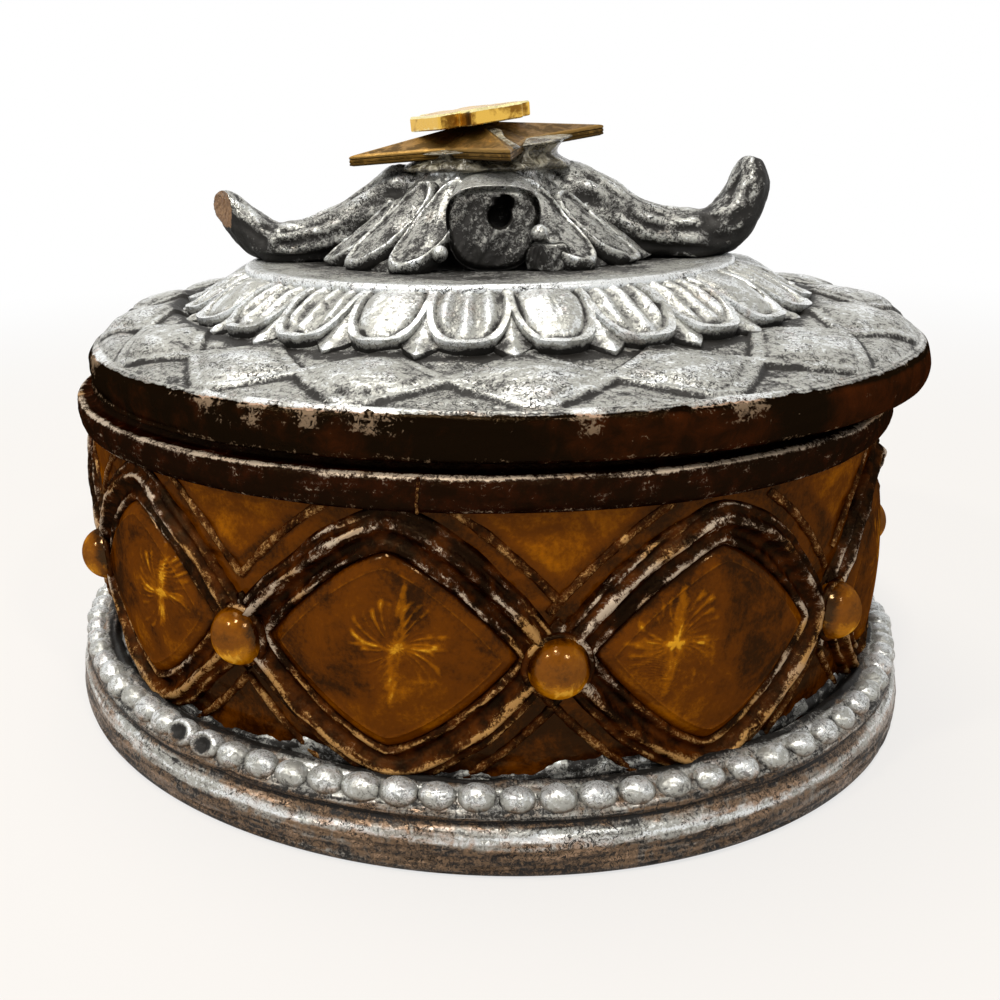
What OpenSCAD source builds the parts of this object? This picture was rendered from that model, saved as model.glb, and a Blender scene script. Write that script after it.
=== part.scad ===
// Round trinket box: an amber moulded bowl in a painted rib lattice, and a loose lid
// that lifts off by a four-horned handle. A brass star and a notched medallion are
// glued on top of the handle. Millimetres, +Z up, origin at the centre of the base.

/* [Bowl] */
// Outer radius of the amber wall
bowl_r = 58.6; // [50:0.2:70]
// Thickness of the amber wall
wall_t = 3.4; // [2.4:0.1:5]
// Height of the amber wall, from the foot to the collar
wall_h = 35.4; // [30:0.2:48]
// Thickness of the bowl's floor
floor_t = 3; // [2:0.1:5]

/* [Foot] */
// Thickness of the felt pad under the foot
pad_t = 0.8; // [0.4:0.1:1.6]
// How far the pad's edge stays inside the foot's flat underside
pad_inset = 1.6; // [0.5:0.1:5]
// Height of the foot, from the pad to the wall
foot_h = 6.6; // [5:0.1:10]
// How far the foot stands out from the wall
foot_overhang = 6.6; // [5.4:0.1:9]
// Diameter of one pearl of the border
pearl_d = 4.3; // [3:0.1:5]
// How deep the pearls sit in the foot
pearl_sink = 0.55; // [0.3:0.05:0.9]

/* [Wall pattern] */
// Number of diamond panels round the wall
panel_count = 10; // [8:1:12]
// Turn of the pattern, from the front to the nearest cabochon
pattern_turn = 9.2; // [0:0.2:36]
// Width of a rib
rib_w = 3.4; // [2.6:0.1:4.2]
// How far the ribs stand out from the wall
rib_rise = 1.6; // [0.8:0.1:2.4]
// How far the rib crossings stay from the wall's two ends
rib_margin = 2.7; // [1.5:0.1:4]
// How far a lens stands out from the wall at its middle
lens_rise = 1.7; // [1.3:0.1:2.6]
// Radius of a lens's domed face
lens_dome_r = 46; // [40:1:56]
// Diameter of a cabochon
cabochon_d = 6.4; // [5:0.1:7.6]
// Width of the setting round a cabochon
setting_w = 0.5; // [0.3:0.1:1]

/* [Collar] */
// Height of the collar's painted band
collar_h = 4; // [3:0.1:6]
// How far the collar stands out from the wall
collar_overhang = 1.8; // [1:0.1:3]
// Height of the seat that carries the lid, above the band
seat_h = 1.4; // [0.8:0.1:2.4]
// Width of the seat
seat_w = 2.6; // [1.6:0.1:3.4]

/* [Lid] */
// How far the lid's rim stands out from the collar
rim_overhang = 0.2; // [0:0.1:1.5]
// Height of the lid's rim
rim_h = 5.6; // [4:0.1:8]
// Rise of the quilted slope, from the rim to the petals
slope_rise = 3.2; // [2:0.1:6]
// Height of the locating lip under the lid
lip_h = 3.6; // [2:0.1:6]
// Width of the locating lip
lip_w = 4; // [2.5:0.1:6]
// Radial play of the lip in the bowl
lip_play = 1; // [0.9:0.1:1.6]
// How far the lid lies off centre in that play
lid_shift = 0.6; // [0:0.1:0.6]
// Number of crossings of the quilting bands round the lid
band_count = 18; // [12:1:22]
// Turn of the quilting
band_turn = -4; // [-10:1:10]
// Width of a quilting band
band_w = 1.5; // [1:0.1:2.2]
// How far the bands stand out from the lid
band_rise = 0.5; // [0.3:0.05:1]

/* [Petals] */
// Number of petals round the collar under the handle
petal_count = 26; // [20:1:30]
// Turn of the petals
petal_turn = -2.5; // [-7:0.5:7]
// Radius that the petals' tips reach
petal_r = 45.4; // [42:0.2:47]
// Thickness of a petal
petal_t = 1.4; // [0.8:0.1:2.2]
// Rise of the petals' slope
petal_rise = 5; // [3:0.1:8]
// How far the leaf points stand out past the petals
point_reach = 1.4; // [0.8:0.1:2.4]
// Thickness of a leaf point
point_t = 0.7; // [0.4:0.1:1.2]

/* [Handle] */
// Radius of the plinth under the handle
plinth_r = 35.4; // [32:0.2:37]
// Height of the plinth
plinth_h = 1.3; // [0.8:0.1:3]
// Height of the handle's core, above the plinth
core_h = 13; // [9:0.2:18]
// Radius of the core at its top
core_top_r = 10; // [8:0.1:11]
// Radius of the core at its base
core_base_r = 22; // [19:0.2:24]
// Turn of the four horns
horn_turn = 3; // [-10:0.5:10]
// Reach of a horn from the handle's axis
horn_reach = 40.8; // [37:0.2:46]
// Width of a horn at its root
horn_w = 12; // [9:0.2:12.6]
// Width of a horn at its tip
horn_tip_w = 6.4; // [4:0.2:8]
// Distance from the axis to the broken face of the front horn
stub_reach = 20; // [17:0.2:24]
// Thickness of the feather lappets on the core
lappet_t = 1.6; // [1:0.1:2]
// Width of a lappet
lappet_w = 5.4; // [4:0.1:5.6]
// Diameter of the small pearls beside the horns
bead_d = 2; // [1.4:0.1:2.2]

/* [Glued brass] */
// Height of the clear glue under the star, at the star's middle
glue_h = 2.5; // [1.5:0.1:4]
// Radius of the glue bead
glue_r = 9.4; // [7:0.1:10]
// Reach of the star's points
star_r = 18.9; // [14:0.1:24]
// Radius of the notches between the star's points
star_notch_r = 8.4; // [6:0.1:10]
// Thickness of the star's edge
star_t = 1.4; // [0.8:0.1:2.4]
// Height of the star's facets above its edge
star_rise = 2.6; // [1.6:0.1:4]
// Sideways tilt of the star
star_tilt = 4; // [0:0.5:8]
// Turn of the star
star_turn = 13; // [0:1:45]
// Width of the medallion
medal_w = 17; // [12:0.2:20]
// Thickness of the medallion
medal_t = 2.1; // [1.2:0.1:3]
// Depth of the notch in each of the medallion's corners
medal_notch = 2.4; // [1.4:0.1:3.4]
// Tilt of the medallion towards the front
medal_tilt = 7; // [0:0.5:10]

/* [Hidden] */
$fn = 96;

// Gap between pieces that lie side by side on one carrier
side_gap = 0.3;
// Gap between a pearl and its neighbours, the ribs and its groove in the foot
pearl_gap = 0.05;
// How far a cutting shape runs past what it cuts
over = 1;

// Heights, from the base up
foot_top = pad_t + foot_h;
floor_top = foot_top + floor_t;
wall_top = foot_top + wall_h;
wall_mid = foot_top + wall_h / 2;
collar_top = wall_top + collar_h;
seat_z = collar_top + seat_h;
rim_top = seat_z + rim_h;
petal_z = rim_top + slope_rise;
lid_top = petal_z + petal_rise;
plinth_top = lid_top + plinth_h;
core_top = plinth_top + core_h;
star_z = core_top + glue_h;
medal_z = star_z + star_t + star_rise - 0.45;

// Radii
bowl_inner_r = bowl_r - wall_t;
foot_r = bowl_r + foot_overhang;
rib_r = bowl_r + rib_rise;
pearl_ring_r = rib_r + pearl_gap + pearl_d / 2;
pearl_z = foot_top + pearl_d / 2 - pearl_sink;
pearl_count = floor(360 / (2 * asin((pearl_d + pearl_gap) / 2 / pearl_ring_r)));
collar_r = bowl_r + collar_overhang;
rim_r = collar_r + rim_overhang;
rim_round = 1.4;
lip_r = bowl_inner_r - lip_play;
slope_r = rim_r - rim_round;
petal_root_r = petal_r - 0.9;
band_start_r = petal_r + point_reach + side_gap;
band_node_r = (slope_r + band_start_r - 2.5) / 2;
foot_round = 1.6;

// The rib lattice on one panel, in the plane that touches the wall there
panel_angle = 360 / panel_count;
panel_half_w = rib_r * sin(panel_angle / 2);
panel_half_h = wall_h / 2 - rib_margin;
rib_slope = atan(panel_half_h / panel_half_w);
rib_centre_gap = panel_half_w * sin(rib_slope);

// A lens fills its diamond but for the ribs and a gap
lens_power = 1.1;
lens_bulge = pow(2, 1 - 1 / lens_power);
lens_share = (rib_centre_gap - rib_w / 2 - side_gap) / rib_centre_gap / lens_bulge;
lens_half_w = panel_half_w * lens_share;
lens_half_h = panel_half_h * lens_share;
lens_points = 48;

// The horns' directions, counted from the right one
HORN_RIGHT = 0;
HORN_BACK = 90;
HORN_LEFT = 180;
HORN_FRONT = 270;
horn_step = 90;
lappet_angles = [34, 56];
bead_angle = asin((horn_w / 2 + bead_d / 2 + pearl_gap) / (core_base_r * 0.86));

// Side view of a horn as shares of its reach and of the core's height
horn_shares = [
  [0, 0], [0.84, 0], [0.89, 0.08], [0.95, 0.23], [0.995, 0.47], [1, 0.76], [0.975, 0.93], [0.925, 1],
  [0.89, 0.87], [0.858, 0.67], [0.81, 0.55], [0.71, 0.485], [0.625, 0.52], [0.54, 0.63],
  [0.445, 0.82], [0.4, 1], [0, 1],
];
horn_outline = [for (p = horn_shares) [p[0] * horn_reach, plinth_top + p[1] * core_h]];
horn_plan = [
  [0, -horn_w / 2], [horn_reach * 0.6, -horn_w / 2], [horn_reach + over, -horn_tip_w / 2],
  [horn_reach + over, horn_tip_w / 2], [horn_reach * 0.6, horn_w / 2], [0, horn_w / 2],
];

// Radius of the core at a share t of its height: it flares out towards the plinth
function core_r(t) = core_top_r + (core_base_r - core_top_r) * pow(1 - t, 1.35);

// Height of the lid's upper surface at radius r, on the quilted slope and on the petals' slope
function slope_z(r) = rim_top + (slope_r - r) / (slope_r - petal_root_r) * slope_rise;
function petal_z_at(r) = petal_z + (petal_root_r - r) / (petal_root_r - plinth_r) * petal_rise;

// Outline of a lens: a diamond with softly swollen sides
function lens_outline() = [
  for (i = [0 : lens_points - 1])
    let (a = 360 * i / lens_points, c = cos(a), s = sin(a))
      [
        lens_half_w * sign(c) * pow(abs(c), 2 / lens_power),
        lens_half_h * sign(s) * pow(abs(s), 2 / lens_power),
      ],
];

// Outline of a star with four points
function star_outline() = [
  for (i = [0 : 7])
    let (a = 45 * i, r = i % 2 == 0 ? star_r : star_notch_r)
      [r * cos(a), r * sin(a)],
];

// Copies its children once per step round the Z axis
module ring_of(count, turn = 0) {
  for (i = [0 : count - 1])
    rotate([0, 0, turn + i * 360 / count])
      children();
}

// Turns its children's +Z to face outwards at the front of the wall, at mid height
module on_wall(depth) {
  translate([0, -depth, wall_mid])
    rotate([90, 0, 0])
      children();
}

// Puts its children on the lid's own axis
module on_lid() {
  translate([lid_shift, 0, 0])
    children();
}

// A rounded tongue in plan, from the axis to radius reach, w wide, cut tall enough for the lid
module tongue(reach, w) {
  translate([0, 0, seat_z])
    linear_extrude(core_top - seat_z + over)
      union() {
        translate([0, -w / 2])
          square([reach - w / 2, w]);
        translate([reach - w / 2, 0])
          circle(w / 2);
      }
}

module core_solid(extra = 0) {
  steps = 10;
  rotate_extrude()
    polygon([
      [0, plinth_top],
      for (i = [0 : steps]) [core_r(i / steps) + extra, plinth_top + core_h * i / steps],
      [0, core_top],
    ]);
}

// A horn before it is broken, running along +X from the core
module horn_blank() {
  difference() {
    intersection() {
      rotate([90, 0, 0])
        linear_extrude(horn_w, center = true)
          polygon(horn_outline);
      translate([0, 0, plinth_top - over])
        linear_extrude(core_h + 2 * over)
          polygon(horn_plan);
    }
    core_solid();
  }
}

// The space that the four horns take, with a gap on both sides, for what lies between them
module horn_clearance() {
  clear_w = horn_w + 2 * side_gap;
  for (direction = [HORN_RIGHT, HORN_BACK, HORN_LEFT, HORN_FRONT])
    rotate([0, 0, direction])
      translate([0, -clear_w / 2, plinth_top - over])
        cube([horn_reach, clear_w, core_h + 2 * over]);
}

module place_horn(direction) {
  on_lid()
    rotate([0, 0, horn_turn + direction])
      children();
}

// Frame of the star: its underside is Z = 0
module on_star() {
  on_lid()
    translate([-1.6, 0, star_z])
      rotate([0, -star_tilt, star_turn])
        children();
}

// Frame of the medallion: its underside is Z = 0
module on_medal() {
  on_lid()
    translate([-2.5, 0, medal_z])
      rotate([medal_tilt, 0, 0])
        children();
}

module base_pad() {
  color("saddlebrown")
    cylinder(r = foot_r - foot_round - pad_inset, h = pad_t);
}

module base_foot() {
  color("silver")
    rotate_extrude()
      difference() {
        polygon([
          [0, pad_t],
          [foot_r - foot_round, pad_t],
          [foot_r - foot_round * 0.3, pad_t + foot_h * 0.1],
          [foot_r, pad_t + foot_h * 0.32],
          [foot_r, pad_t + foot_h * 0.55],
          [foot_r - foot_round * 0.35, pad_t + foot_h * 0.82],
          [foot_r - foot_round, foot_top],
          [0, foot_top],
        ]);
        translate([pearl_ring_r, pearl_z])
          circle(pearl_d / 2 + pearl_gap);
      }
}

module pearl_border() {
  color("gainsboro")
    ring_of(pearl_count, pattern_turn)
      translate([0, -pearl_ring_r, pearl_z])
        sphere(pearl_d / 2);
}

module amber_bowl() {
  color("darkorange")
    difference() {
      translate([0, 0, foot_top])
        cylinder(r = bowl_r, h = wall_h);
      translate([0, 0, floor_top])
        cylinder(r = bowl_inner_r, h = wall_h);
    }
}

// The band of space just outside the wall that the ribs fill
module rib_shell() {
  translate([0, 0, foot_top])
    difference() {
      cylinder(r = rib_r, h = wall_h);
      translate([0, 0, -over])
        cylinder(r = bowl_r, h = wall_h + 2 * over);
    }
}

module lattice_ribs() {
  bar_l = 2 * norm([panel_half_w, panel_half_h]) * 0.82;
  bar_depth = rib_r * (1 - cos(panel_angle / 2)) + rib_rise + 2 * over;
  color([0.16, 0.1, 0.07])
    intersection() {
      rib_shell();
      union() {
        ring_of(panel_count, pattern_turn + panel_angle / 2)
          on_wall(rib_r + over)
            for (side = [-1, 1], end = [-1, 1])
              translate([side * panel_half_w, 0, -bar_depth])
                rotate([0, 0, side > 0 ? 180 - end * rib_slope : end * rib_slope])
                  translate([0, -rib_w / 2, 0])
                    cube([bar_l, rib_w, bar_depth]);
        ring_of(panel_count, pattern_turn)
          on_wall(bowl_r - over)
            cylinder(d = cabochon_d + 2 * setting_w, h = rib_rise + 2 * over);
      }
    }
}

module diamond_lenses() {
  color("orange")
    ring_of(panel_count, pattern_turn + panel_angle / 2)
      difference() {
        intersection() {
          on_wall(bowl_r - 2 * over)
            linear_extrude(lens_rise + 3 * over)
              polygon(lens_outline());
          translate([0, -(bowl_r + lens_rise - lens_dome_r), wall_mid])
            sphere(lens_dome_r);
        }
        translate([0, 0, foot_top])
          cylinder(r = bowl_r, h = wall_h);
      }
}

module cabochons() {
  color("goldenrod")
    difference() {
      ring_of(panel_count, pattern_turn)
        translate([0, -rib_r - 0.4, wall_mid])
          sphere(d = cabochon_d);
      translate([0, 0, foot_top])
        cylinder(r = rib_r, h = wall_h);
    }
}

module bowl_collar() {
  seat_r = bowl_inner_r + seat_w;
  color([0.2, 0.12, 0.08])
    rotate_extrude()
      polygon([
        [bowl_inner_r, wall_top],
        [collar_r - 0.8, wall_top],
        [collar_r - 0.2, wall_top + collar_h * 0.2],
        [collar_r, wall_top + collar_h * 0.75],
        [collar_r - 0.5, collar_top],
        [seat_r + 0.4, collar_top + seat_h * 0.2],
        [seat_r, seat_z],
        [bowl_inner_r, seat_z],
      ]);
}

module lid_plate() {
  color([0.62, 0.63, 0.62])
    on_lid()
      rotate_extrude()
        polygon([
          [0, seat_z],
          [lip_r - lip_w, seat_z],
          [lip_r - lip_w, seat_z - lip_h],
          [lip_r - 0.5, seat_z - lip_h],
          [lip_r, seat_z - lip_h + 0.5],
          [lip_r, seat_z],
          [rim_r - rim_round * 0.7, seat_z],
          [rim_r - rim_round * 0.15, seat_z + rim_h * 0.12],
          [rim_r, seat_z + rim_h * 0.4],
          [rim_r, seat_z + rim_h * 0.7],
          [rim_r - rim_round * 0.35, seat_z + rim_h * 0.93],
          [slope_r, rim_top],
          [petal_root_r, petal_z],
          [plinth_r, lid_top],
          [0, lid_top],
        ]);
}

module lid_bands() {
  outer = slope_r - side_gap;
  start = [outer * sin(180 / band_count), -outer * cos(180 / band_count)];
  node_point = [0, -band_node_r];
  run = start - node_point;
  bar_l = 2 * norm(run) + 4 * band_w;
  color("silver")
    on_lid()
      intersection() {
        rotate_extrude()
          polygon([
            [band_start_r, slope_z(band_start_r)],
            [outer, slope_z(outer)],
            [outer, slope_z(outer) + band_rise],
            [band_start_r, slope_z(band_start_r) + band_rise],
          ]);
        union()
          ring_of(band_count, band_turn)
            for (side = [-1, 1])
              translate([node_point[0], node_point[1], rim_top - over])
                rotate([0, 0, atan2(run[1], side * run[0])])
                  translate([-bar_l / 2, -band_w / 2, 0])
                    cube([bar_l, band_w, slope_rise + band_rise + 2 * over]);
      }
}

module petal_plan() {
  petal_w = 2 * petal_r * sin(180 / petal_count);
  ring_of(petal_count, petal_turn - 90)
    tongue(petal_r, petal_w);
}

module petal_collar() {
  color("lightgray")
    on_lid()
      intersection() {
        rotate_extrude()
          polygon([
            [plinth_r, lid_top],
            [petal_root_r, petal_z],
            [petal_r + over, slope_z(petal_r + over)],
            [petal_r + over, slope_z(petal_r + over) + petal_t * 0.6],
            [petal_root_r, petal_z + petal_t],
            [plinth_r, lid_top + petal_t],
          ]);
        petal_plan();
      }
}

module petal_points() {
  point_r = petal_r + point_reach;
  point_half_w = petal_r * sin(180 / petal_count) * 0.7;
  color("gray")
    on_lid()
      difference() {
        intersection() {
          rotate_extrude()
            polygon([
              [petal_root_r - 2, petal_z_at(petal_root_r - 2)],
              [petal_root_r, petal_z],
              [point_r, slope_z(point_r)],
              [point_r, slope_z(point_r) + point_t],
              [petal_root_r, petal_z + point_t],
              [petal_root_r - 2, petal_z_at(petal_root_r - 2) + point_t],
            ]);
          ring_of(petal_count, petal_turn - 90 + 180 / petal_count)
            translate([0, 0, seat_z])
              linear_extrude(lid_top - seat_z + over)
                polygon([
                  [petal_root_r - 2, -point_half_w],
                  [petal_root_r, -point_half_w],
                  [point_r, 0],
                  [petal_root_r, point_half_w],
                  [petal_root_r - 2, point_half_w],
                ]);
        }
        petal_plan();
      }
}

module handle_plinth() {
  edge = min(0.4, plinth_h / 3);
  color("whitesmoke")
    on_lid()
      rotate_extrude()
        polygon([
          [0, lid_top],
          [plinth_r, lid_top],
          [plinth_r, plinth_top - edge],
          [plinth_r - edge, plinth_top],
          [0, plinth_top],
        ]);
}

module handle_core() {
  color("darkgray")
    on_lid()
      core_solid();
}

// The left horn has lost its tip: a sloping break cuts it
module horn_left() {
  color("gray")
    place_horn(HORN_LEFT)
      difference() {
        horn_blank();
        translate([horn_reach * 0.9, -horn_w, plinth_top + core_h * 0.78])
          rotate([0, 38, 0])
            cube([horn_reach, 2 * horn_w, core_h]);
      }
}

module horn_right() {
  color("gray")
    place_horn(HORN_RIGHT)
      horn_blank();
}

module horn_back() {
  color("gray")
    place_horn(HORN_BACK)
      horn_blank();
}

// The front horn has broken off at its root, and two air holes show in the break
module horn_stub() {
  hole_d = 2.2;
  hole_depth = 4;
  hole_z = plinth_top + core_h * 0.56;
  color("dimgray")
    place_horn(HORN_FRONT)
      difference() {
        intersection() {
          horn_blank();
          translate([0, -horn_w, plinth_top - over])
            cube([stub_reach, 2 * horn_w, core_h * 0.8 + over]);
        }
        for (step = [-0.4, 0.4])
          translate([stub_reach - hole_depth, step * hole_d * 0.4, hole_z + step * hole_d])
            rotate([0, 90, 0])
              cylinder(d = hole_d, h = hole_depth + over);
      }
}

module handle_lappets() {
  color("silver")
    place_horn(HORN_RIGHT)
      difference() {
        intersection() {
          core_solid(lappet_t);
          for (quarter = [0 : 3], angle = lappet_angles)
            rotate([0, 0, quarter * horn_step + angle])
              tongue(core_base_r + lappet_t, lappet_w);
        }
        core_solid();
        horn_clearance();
      }
}

module handle_beads() {
  bead_r = core_base_r * 0.86;
  bead_t = 1 - pow((bead_r - bead_d * 0.35 - core_top_r) / (core_base_r - core_top_r), 1 / 1.35);
  color("silver")
    place_horn(HORN_RIGHT)
      difference() {
        for (quarter = [0 : 3], side = [-1, 1])
          rotate([0, 0, quarter * horn_step + side * bead_angle])
            translate([bead_r, 0, plinth_top + core_h * bead_t])
              sphere(d = bead_d);
        core_solid();
      }
}

module glue_bead() {
  color([0.85, 0.85, 0.8, 0.5])
    difference() {
      on_lid()
        translate([0, 0, core_top])
          cylinder(r = glue_r, h = glue_h + over);
      on_star()
        translate([-star_r, -star_r, 0])
          cube([2 * star_r, 2 * star_r, 3 * glue_h]);
    }
}

module brass_star() {
  color([0.66, 0.5, 0.22])
    difference() {
      on_star()
        union() {
          linear_extrude(star_t)
            polygon(star_outline());
          translate([0, 0, star_t])
            linear_extrude(star_rise, scale = 0.02)
              polygon(star_outline());
        }
      on_medal()
        translate([-medal_w, -medal_w, 0])
          cube([2 * medal_w, 2 * medal_w, 3 * medal_t]);
    }
}

module brass_medallion() {
  inner_w = medal_w - 2 * medal_notch;
  color("gold")
    on_medal()
      linear_extrude(medal_t)
        union() {
          square([medal_w, inner_w], center = true);
          square([inner_w, medal_w], center = true);
        }
}

base_pad();
base_foot();
pearl_border();
amber_bowl();
lattice_ribs();
diamond_lenses();
cabochons();
bowl_collar();
lid_plate();
lid_bands();
petal_collar();
petal_points();
handle_plinth();
handle_core();
horn_left();
horn_right();
horn_back();
horn_stub();
handle_lappets();
handle_beads();
glue_bead();
brass_star();
brass_medallion();
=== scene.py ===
"""Looks of a round amber trinket box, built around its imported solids.

The bowl is glossy amber cast resin in a lattice of dark painted frames, on a silver foot with a
row of pearls. The lid has a dark rim, a quilted silver slope, a ring of petals and a handle of
feathered horns, with a clear glue bead, a brass star and a notched brass plate on top.

Sizes in the classes are millimetres; the meshes are put into Blender in metres. An azimuth is in
degrees round the bowl's axis, 0 at the front (-Y) and growing towards the right (+X).
"""

import logging
import math
from dataclasses import dataclass, field
from enum import Enum
from functools import partial
from typing import Callable, Sequence

import bmesh
import bpy
import numpy as np
from mathutils import Matrix, Vector


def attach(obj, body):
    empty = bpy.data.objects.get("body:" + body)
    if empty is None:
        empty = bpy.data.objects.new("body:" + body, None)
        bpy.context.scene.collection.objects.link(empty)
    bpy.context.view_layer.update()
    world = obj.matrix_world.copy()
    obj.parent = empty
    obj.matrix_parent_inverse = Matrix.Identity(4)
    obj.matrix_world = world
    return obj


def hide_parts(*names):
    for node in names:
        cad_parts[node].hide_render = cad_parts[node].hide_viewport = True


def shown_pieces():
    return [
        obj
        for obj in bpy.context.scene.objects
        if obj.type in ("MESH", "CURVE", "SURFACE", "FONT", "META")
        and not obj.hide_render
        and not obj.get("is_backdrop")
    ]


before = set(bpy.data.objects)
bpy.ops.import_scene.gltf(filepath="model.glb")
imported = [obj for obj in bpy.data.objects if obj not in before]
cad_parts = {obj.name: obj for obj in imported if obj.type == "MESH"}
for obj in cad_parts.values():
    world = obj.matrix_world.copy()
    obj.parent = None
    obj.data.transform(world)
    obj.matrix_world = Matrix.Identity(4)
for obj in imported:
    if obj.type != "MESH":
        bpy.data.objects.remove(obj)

Array = np.ndarray
Carrier = Callable[[Array, Array, Array], Array]
Pair = tuple[Array, Array]
Piece = bpy.types.Object
Material = bpy.types.Material
Socket = bpy.types.NodeSocket

MM = 0.001
LOG = logging.getLogger("trinket_box")


class Body(Enum):
    """The two bodies of the box."""

    BOWL = "bowl"
    LID = "lid"


class Slot(Enum):
    """The record's material slots."""

    FELT = "felt"
    SILVER = "silver_paint"
    AMBER = "amber_resin"
    DARK = "dark_paint"
    GLUE = "clear_glue"
    AGED = "aged_brass"
    BRIGHT = "bright_brass"


class Ends(Enum):
    """How the first and last rows of a skin are closed."""

    CAPPED = "each end closes on a point"
    JOINED = "the last row meets the first"


# ---- numbers


def unit(value: Array) -> Array:
    """A value held between 0 and 1."""
    return np.clip(value, 0.0, 1.0)


def smooth(low: float, high: float, value: Array) -> Array:
    """A soft step: 0 at low, 1 at high, and a cubic without corners in between."""
    t = unit((np.asarray(value, float) - low) / (high - low))
    return t * t * (3.0 - 2.0 * t)


def hump(centre: float, width: float, value: Array) -> Array:
    """A bell of height 1 at centre: e to the minus squared distance in widths."""
    return np.exp(-(((np.asarray(value, float) - centre) / width) ** 2))


def turns(count: int) -> Array:
    """Angles in radians, spread evenly over a full turn."""
    return np.linspace(0.0, math.tau, count, endpoint=False)


def signed(azimuth: Array | float) -> Array | float:
    """An azimuth in degrees, brought between -180 and 180."""
    return (azimuth + 180.0) % 360.0 - 180.0


def ripple(u: Array, v: Array, seed: int, octaves: int = 4, first: float = 1.0) -> Array:
    """Seeded unevenness in about -1..1: a sum of sine waves, each octave finer and lower.

    Args:
        u: First coordinate, in radians; the sum repeats every turn.
        v: Second coordinate.
        seed: Chooses directions and phases.
        octaves: Number of octaves of three waves.
        first: Frequency of the first octave.

    Returns:
        The unevenness.
    """
    rng = np.random.default_rng(seed)
    total = np.zeros(np.broadcast(u, v).shape)
    weight = 0.0
    for octave in range(octaves):
        rate = first * 1.9**octave
        size = 0.62**octave
        for _ in range(3):
            around = round(rate * rng.uniform(0.6, 1.4)) * rng.choice([-1, 1])
            up = rate * rng.uniform(-0.8, 0.8)
            total = total + size * np.sin(around * u + up * v + rng.uniform(0, math.tau))
        weight += 1.6 * size
    return total / weight


def resample(points: Array, count: int, closed: bool = False) -> Array:
    """Points evenly spaced by length along a polyline.

    Args:
        points: (n, k) points; with closed, the first isn't repeated.
        count: Number of points wanted.
        closed: Whether the line returns to its start.

    Returns:
        (count, k) points.
    """
    line = np.vstack([points, points[:1]]) if closed else np.asarray(points, float)
    steps = np.r_[0.0, np.cumsum(np.linalg.norm(np.diff(line, axis=0), axis=1))]
    at = np.linspace(0.0, steps[-1], count + 1)[:-1] if closed else np.linspace(0.0, steps[-1], count)
    return np.stack([np.interp(at, steps, line[:, k]) for k in range(line.shape[1])], axis=1)


def curve(knots: Sequence[Sequence[float]], count: int) -> Array:
    """A smooth line through knots: each stretch is the cubic with slopes taken from its neighbours.

    Args:
        knots: (n, k) knots.
        count: Number of points wanted, evenly spread over the knots.

    Returns:
        (count, k) points.
    """
    p = np.asarray(knots, float)
    m = np.gradient(p, axis=0)
    s = np.linspace(0.0, len(p) - 1.0, count)
    i = np.minimum(s.astype(int), len(p) - 2)
    t = (s - i)[:, None]
    return (
        (2 * t**3 - 3 * t**2 + 1) * p[i]
        + (t**3 - 2 * t**2 + t) * m[i]
        + (-2 * t**3 + 3 * t**2) * p[i + 1]
        + (t**3 - t**2) * m[i + 1]
    )


def around(azimuth: Array, radius: Array, height: Array) -> Array:
    """Points round the bowl's axis: x is radius times sine, y is minus radius times cosine."""
    a = np.radians(azimuth)
    x, y, z = np.broadcast_arrays(radius * np.sin(a), -radius * np.cos(a), height)
    return np.stack([x, y, z], axis=-1)


# ---- skins


@dataclass
class Skin:
    """A closed skin on a grid of rows by columns, its columns running round.

    wear is 1 on rubbed ridges and 0 in recesses, and in places carries painted highlight and painted shade
    as well; tone is a finish's own scale.
    """

    points: Array
    wear: Array | float = 0.5
    tone: Array | float = 0.0
    ends: Ends = Ends.CAPPED

    def arrays(self) -> tuple[Array, Array, Array, Array]:
        """Vertices, quads, triangles and the two values of each vertex, faces turned outwards.

        Returns:
            (v, 3) vertices, (q, 4) quads, (t, 3) triangles and (v, 2) values.
        """
        rows, cols = self.points.shape[:2]
        values = np.stack(
            [np.broadcast_to(a, (rows, cols)).astype(float) for a in (self.wear, self.tone)], axis=-1
        )
        index = np.arange(rows * cols).reshape(rows, cols)
        right = np.roll(index, -1, axis=1)
        below = np.roll(index, -1, axis=0)
        corners = np.stack([index, right, np.roll(below, -1, axis=1), below], axis=-1)
        vertices = self.points.reshape(-1, 3)
        values = values.reshape(-1, 2)
        triangles = np.zeros((0, 3), int)
        if self.ends is Ends.CAPPED:
            corners = corners[:-1]
            first = np.full(cols, len(vertices))
            triangles = np.vstack([np.stack([first, right[0], index[0]], axis=1),
                                   np.stack([first + 1, index[-1], right[-1]], axis=1)])
            vertices = np.vstack([vertices, self.points[0].mean(0), self.points[-1].mean(0)])
            values = np.vstack([values, values[:cols].mean(0), values[-cols:].mean(0)])
        quads = corners.reshape(-1, 4)
        every = np.vstack([quads[:, [0, 1, 2]], quads[:, [0, 2, 3]], triangles])
        a, b, c = (vertices[every[:, k]] - vertices.mean(0) for k in range(3))
        if np.einsum("ij,ij->", a, np.cross(b, c)) < 0:
            quads, triangles = quads[:, ::-1], triangles[:, ::-1]
        return vertices, quads, triangles, values


def lathe(profile: Array, columns: int, shape: Callable[[Array, Array, Array], Pair] | None = None) -> Array:
    """A profile carried round the axis, with its radius and height changed by a function.

    Args:
        profile: (n, 2) radii and heights from the axis below to the axis above.
        columns: Number of columns round.
        shape: Takes azimuth, radius and height arrays and gives the new radius and height.

    Returns:
        (n, columns, 3) points.
    """
    azimuth = np.linspace(0.0, 360.0, columns, endpoint=False)[None, :]
    radius = np.repeat(profile[:, :1], columns, axis=1)
    height = np.repeat(profile[:, 1:], columns, axis=1)
    azimuth = np.broadcast_to(azimuth, radius.shape)
    if shape is not None:
        radius, height = shape(azimuth, radius, height)
    return around(azimuth, radius, height)


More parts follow.
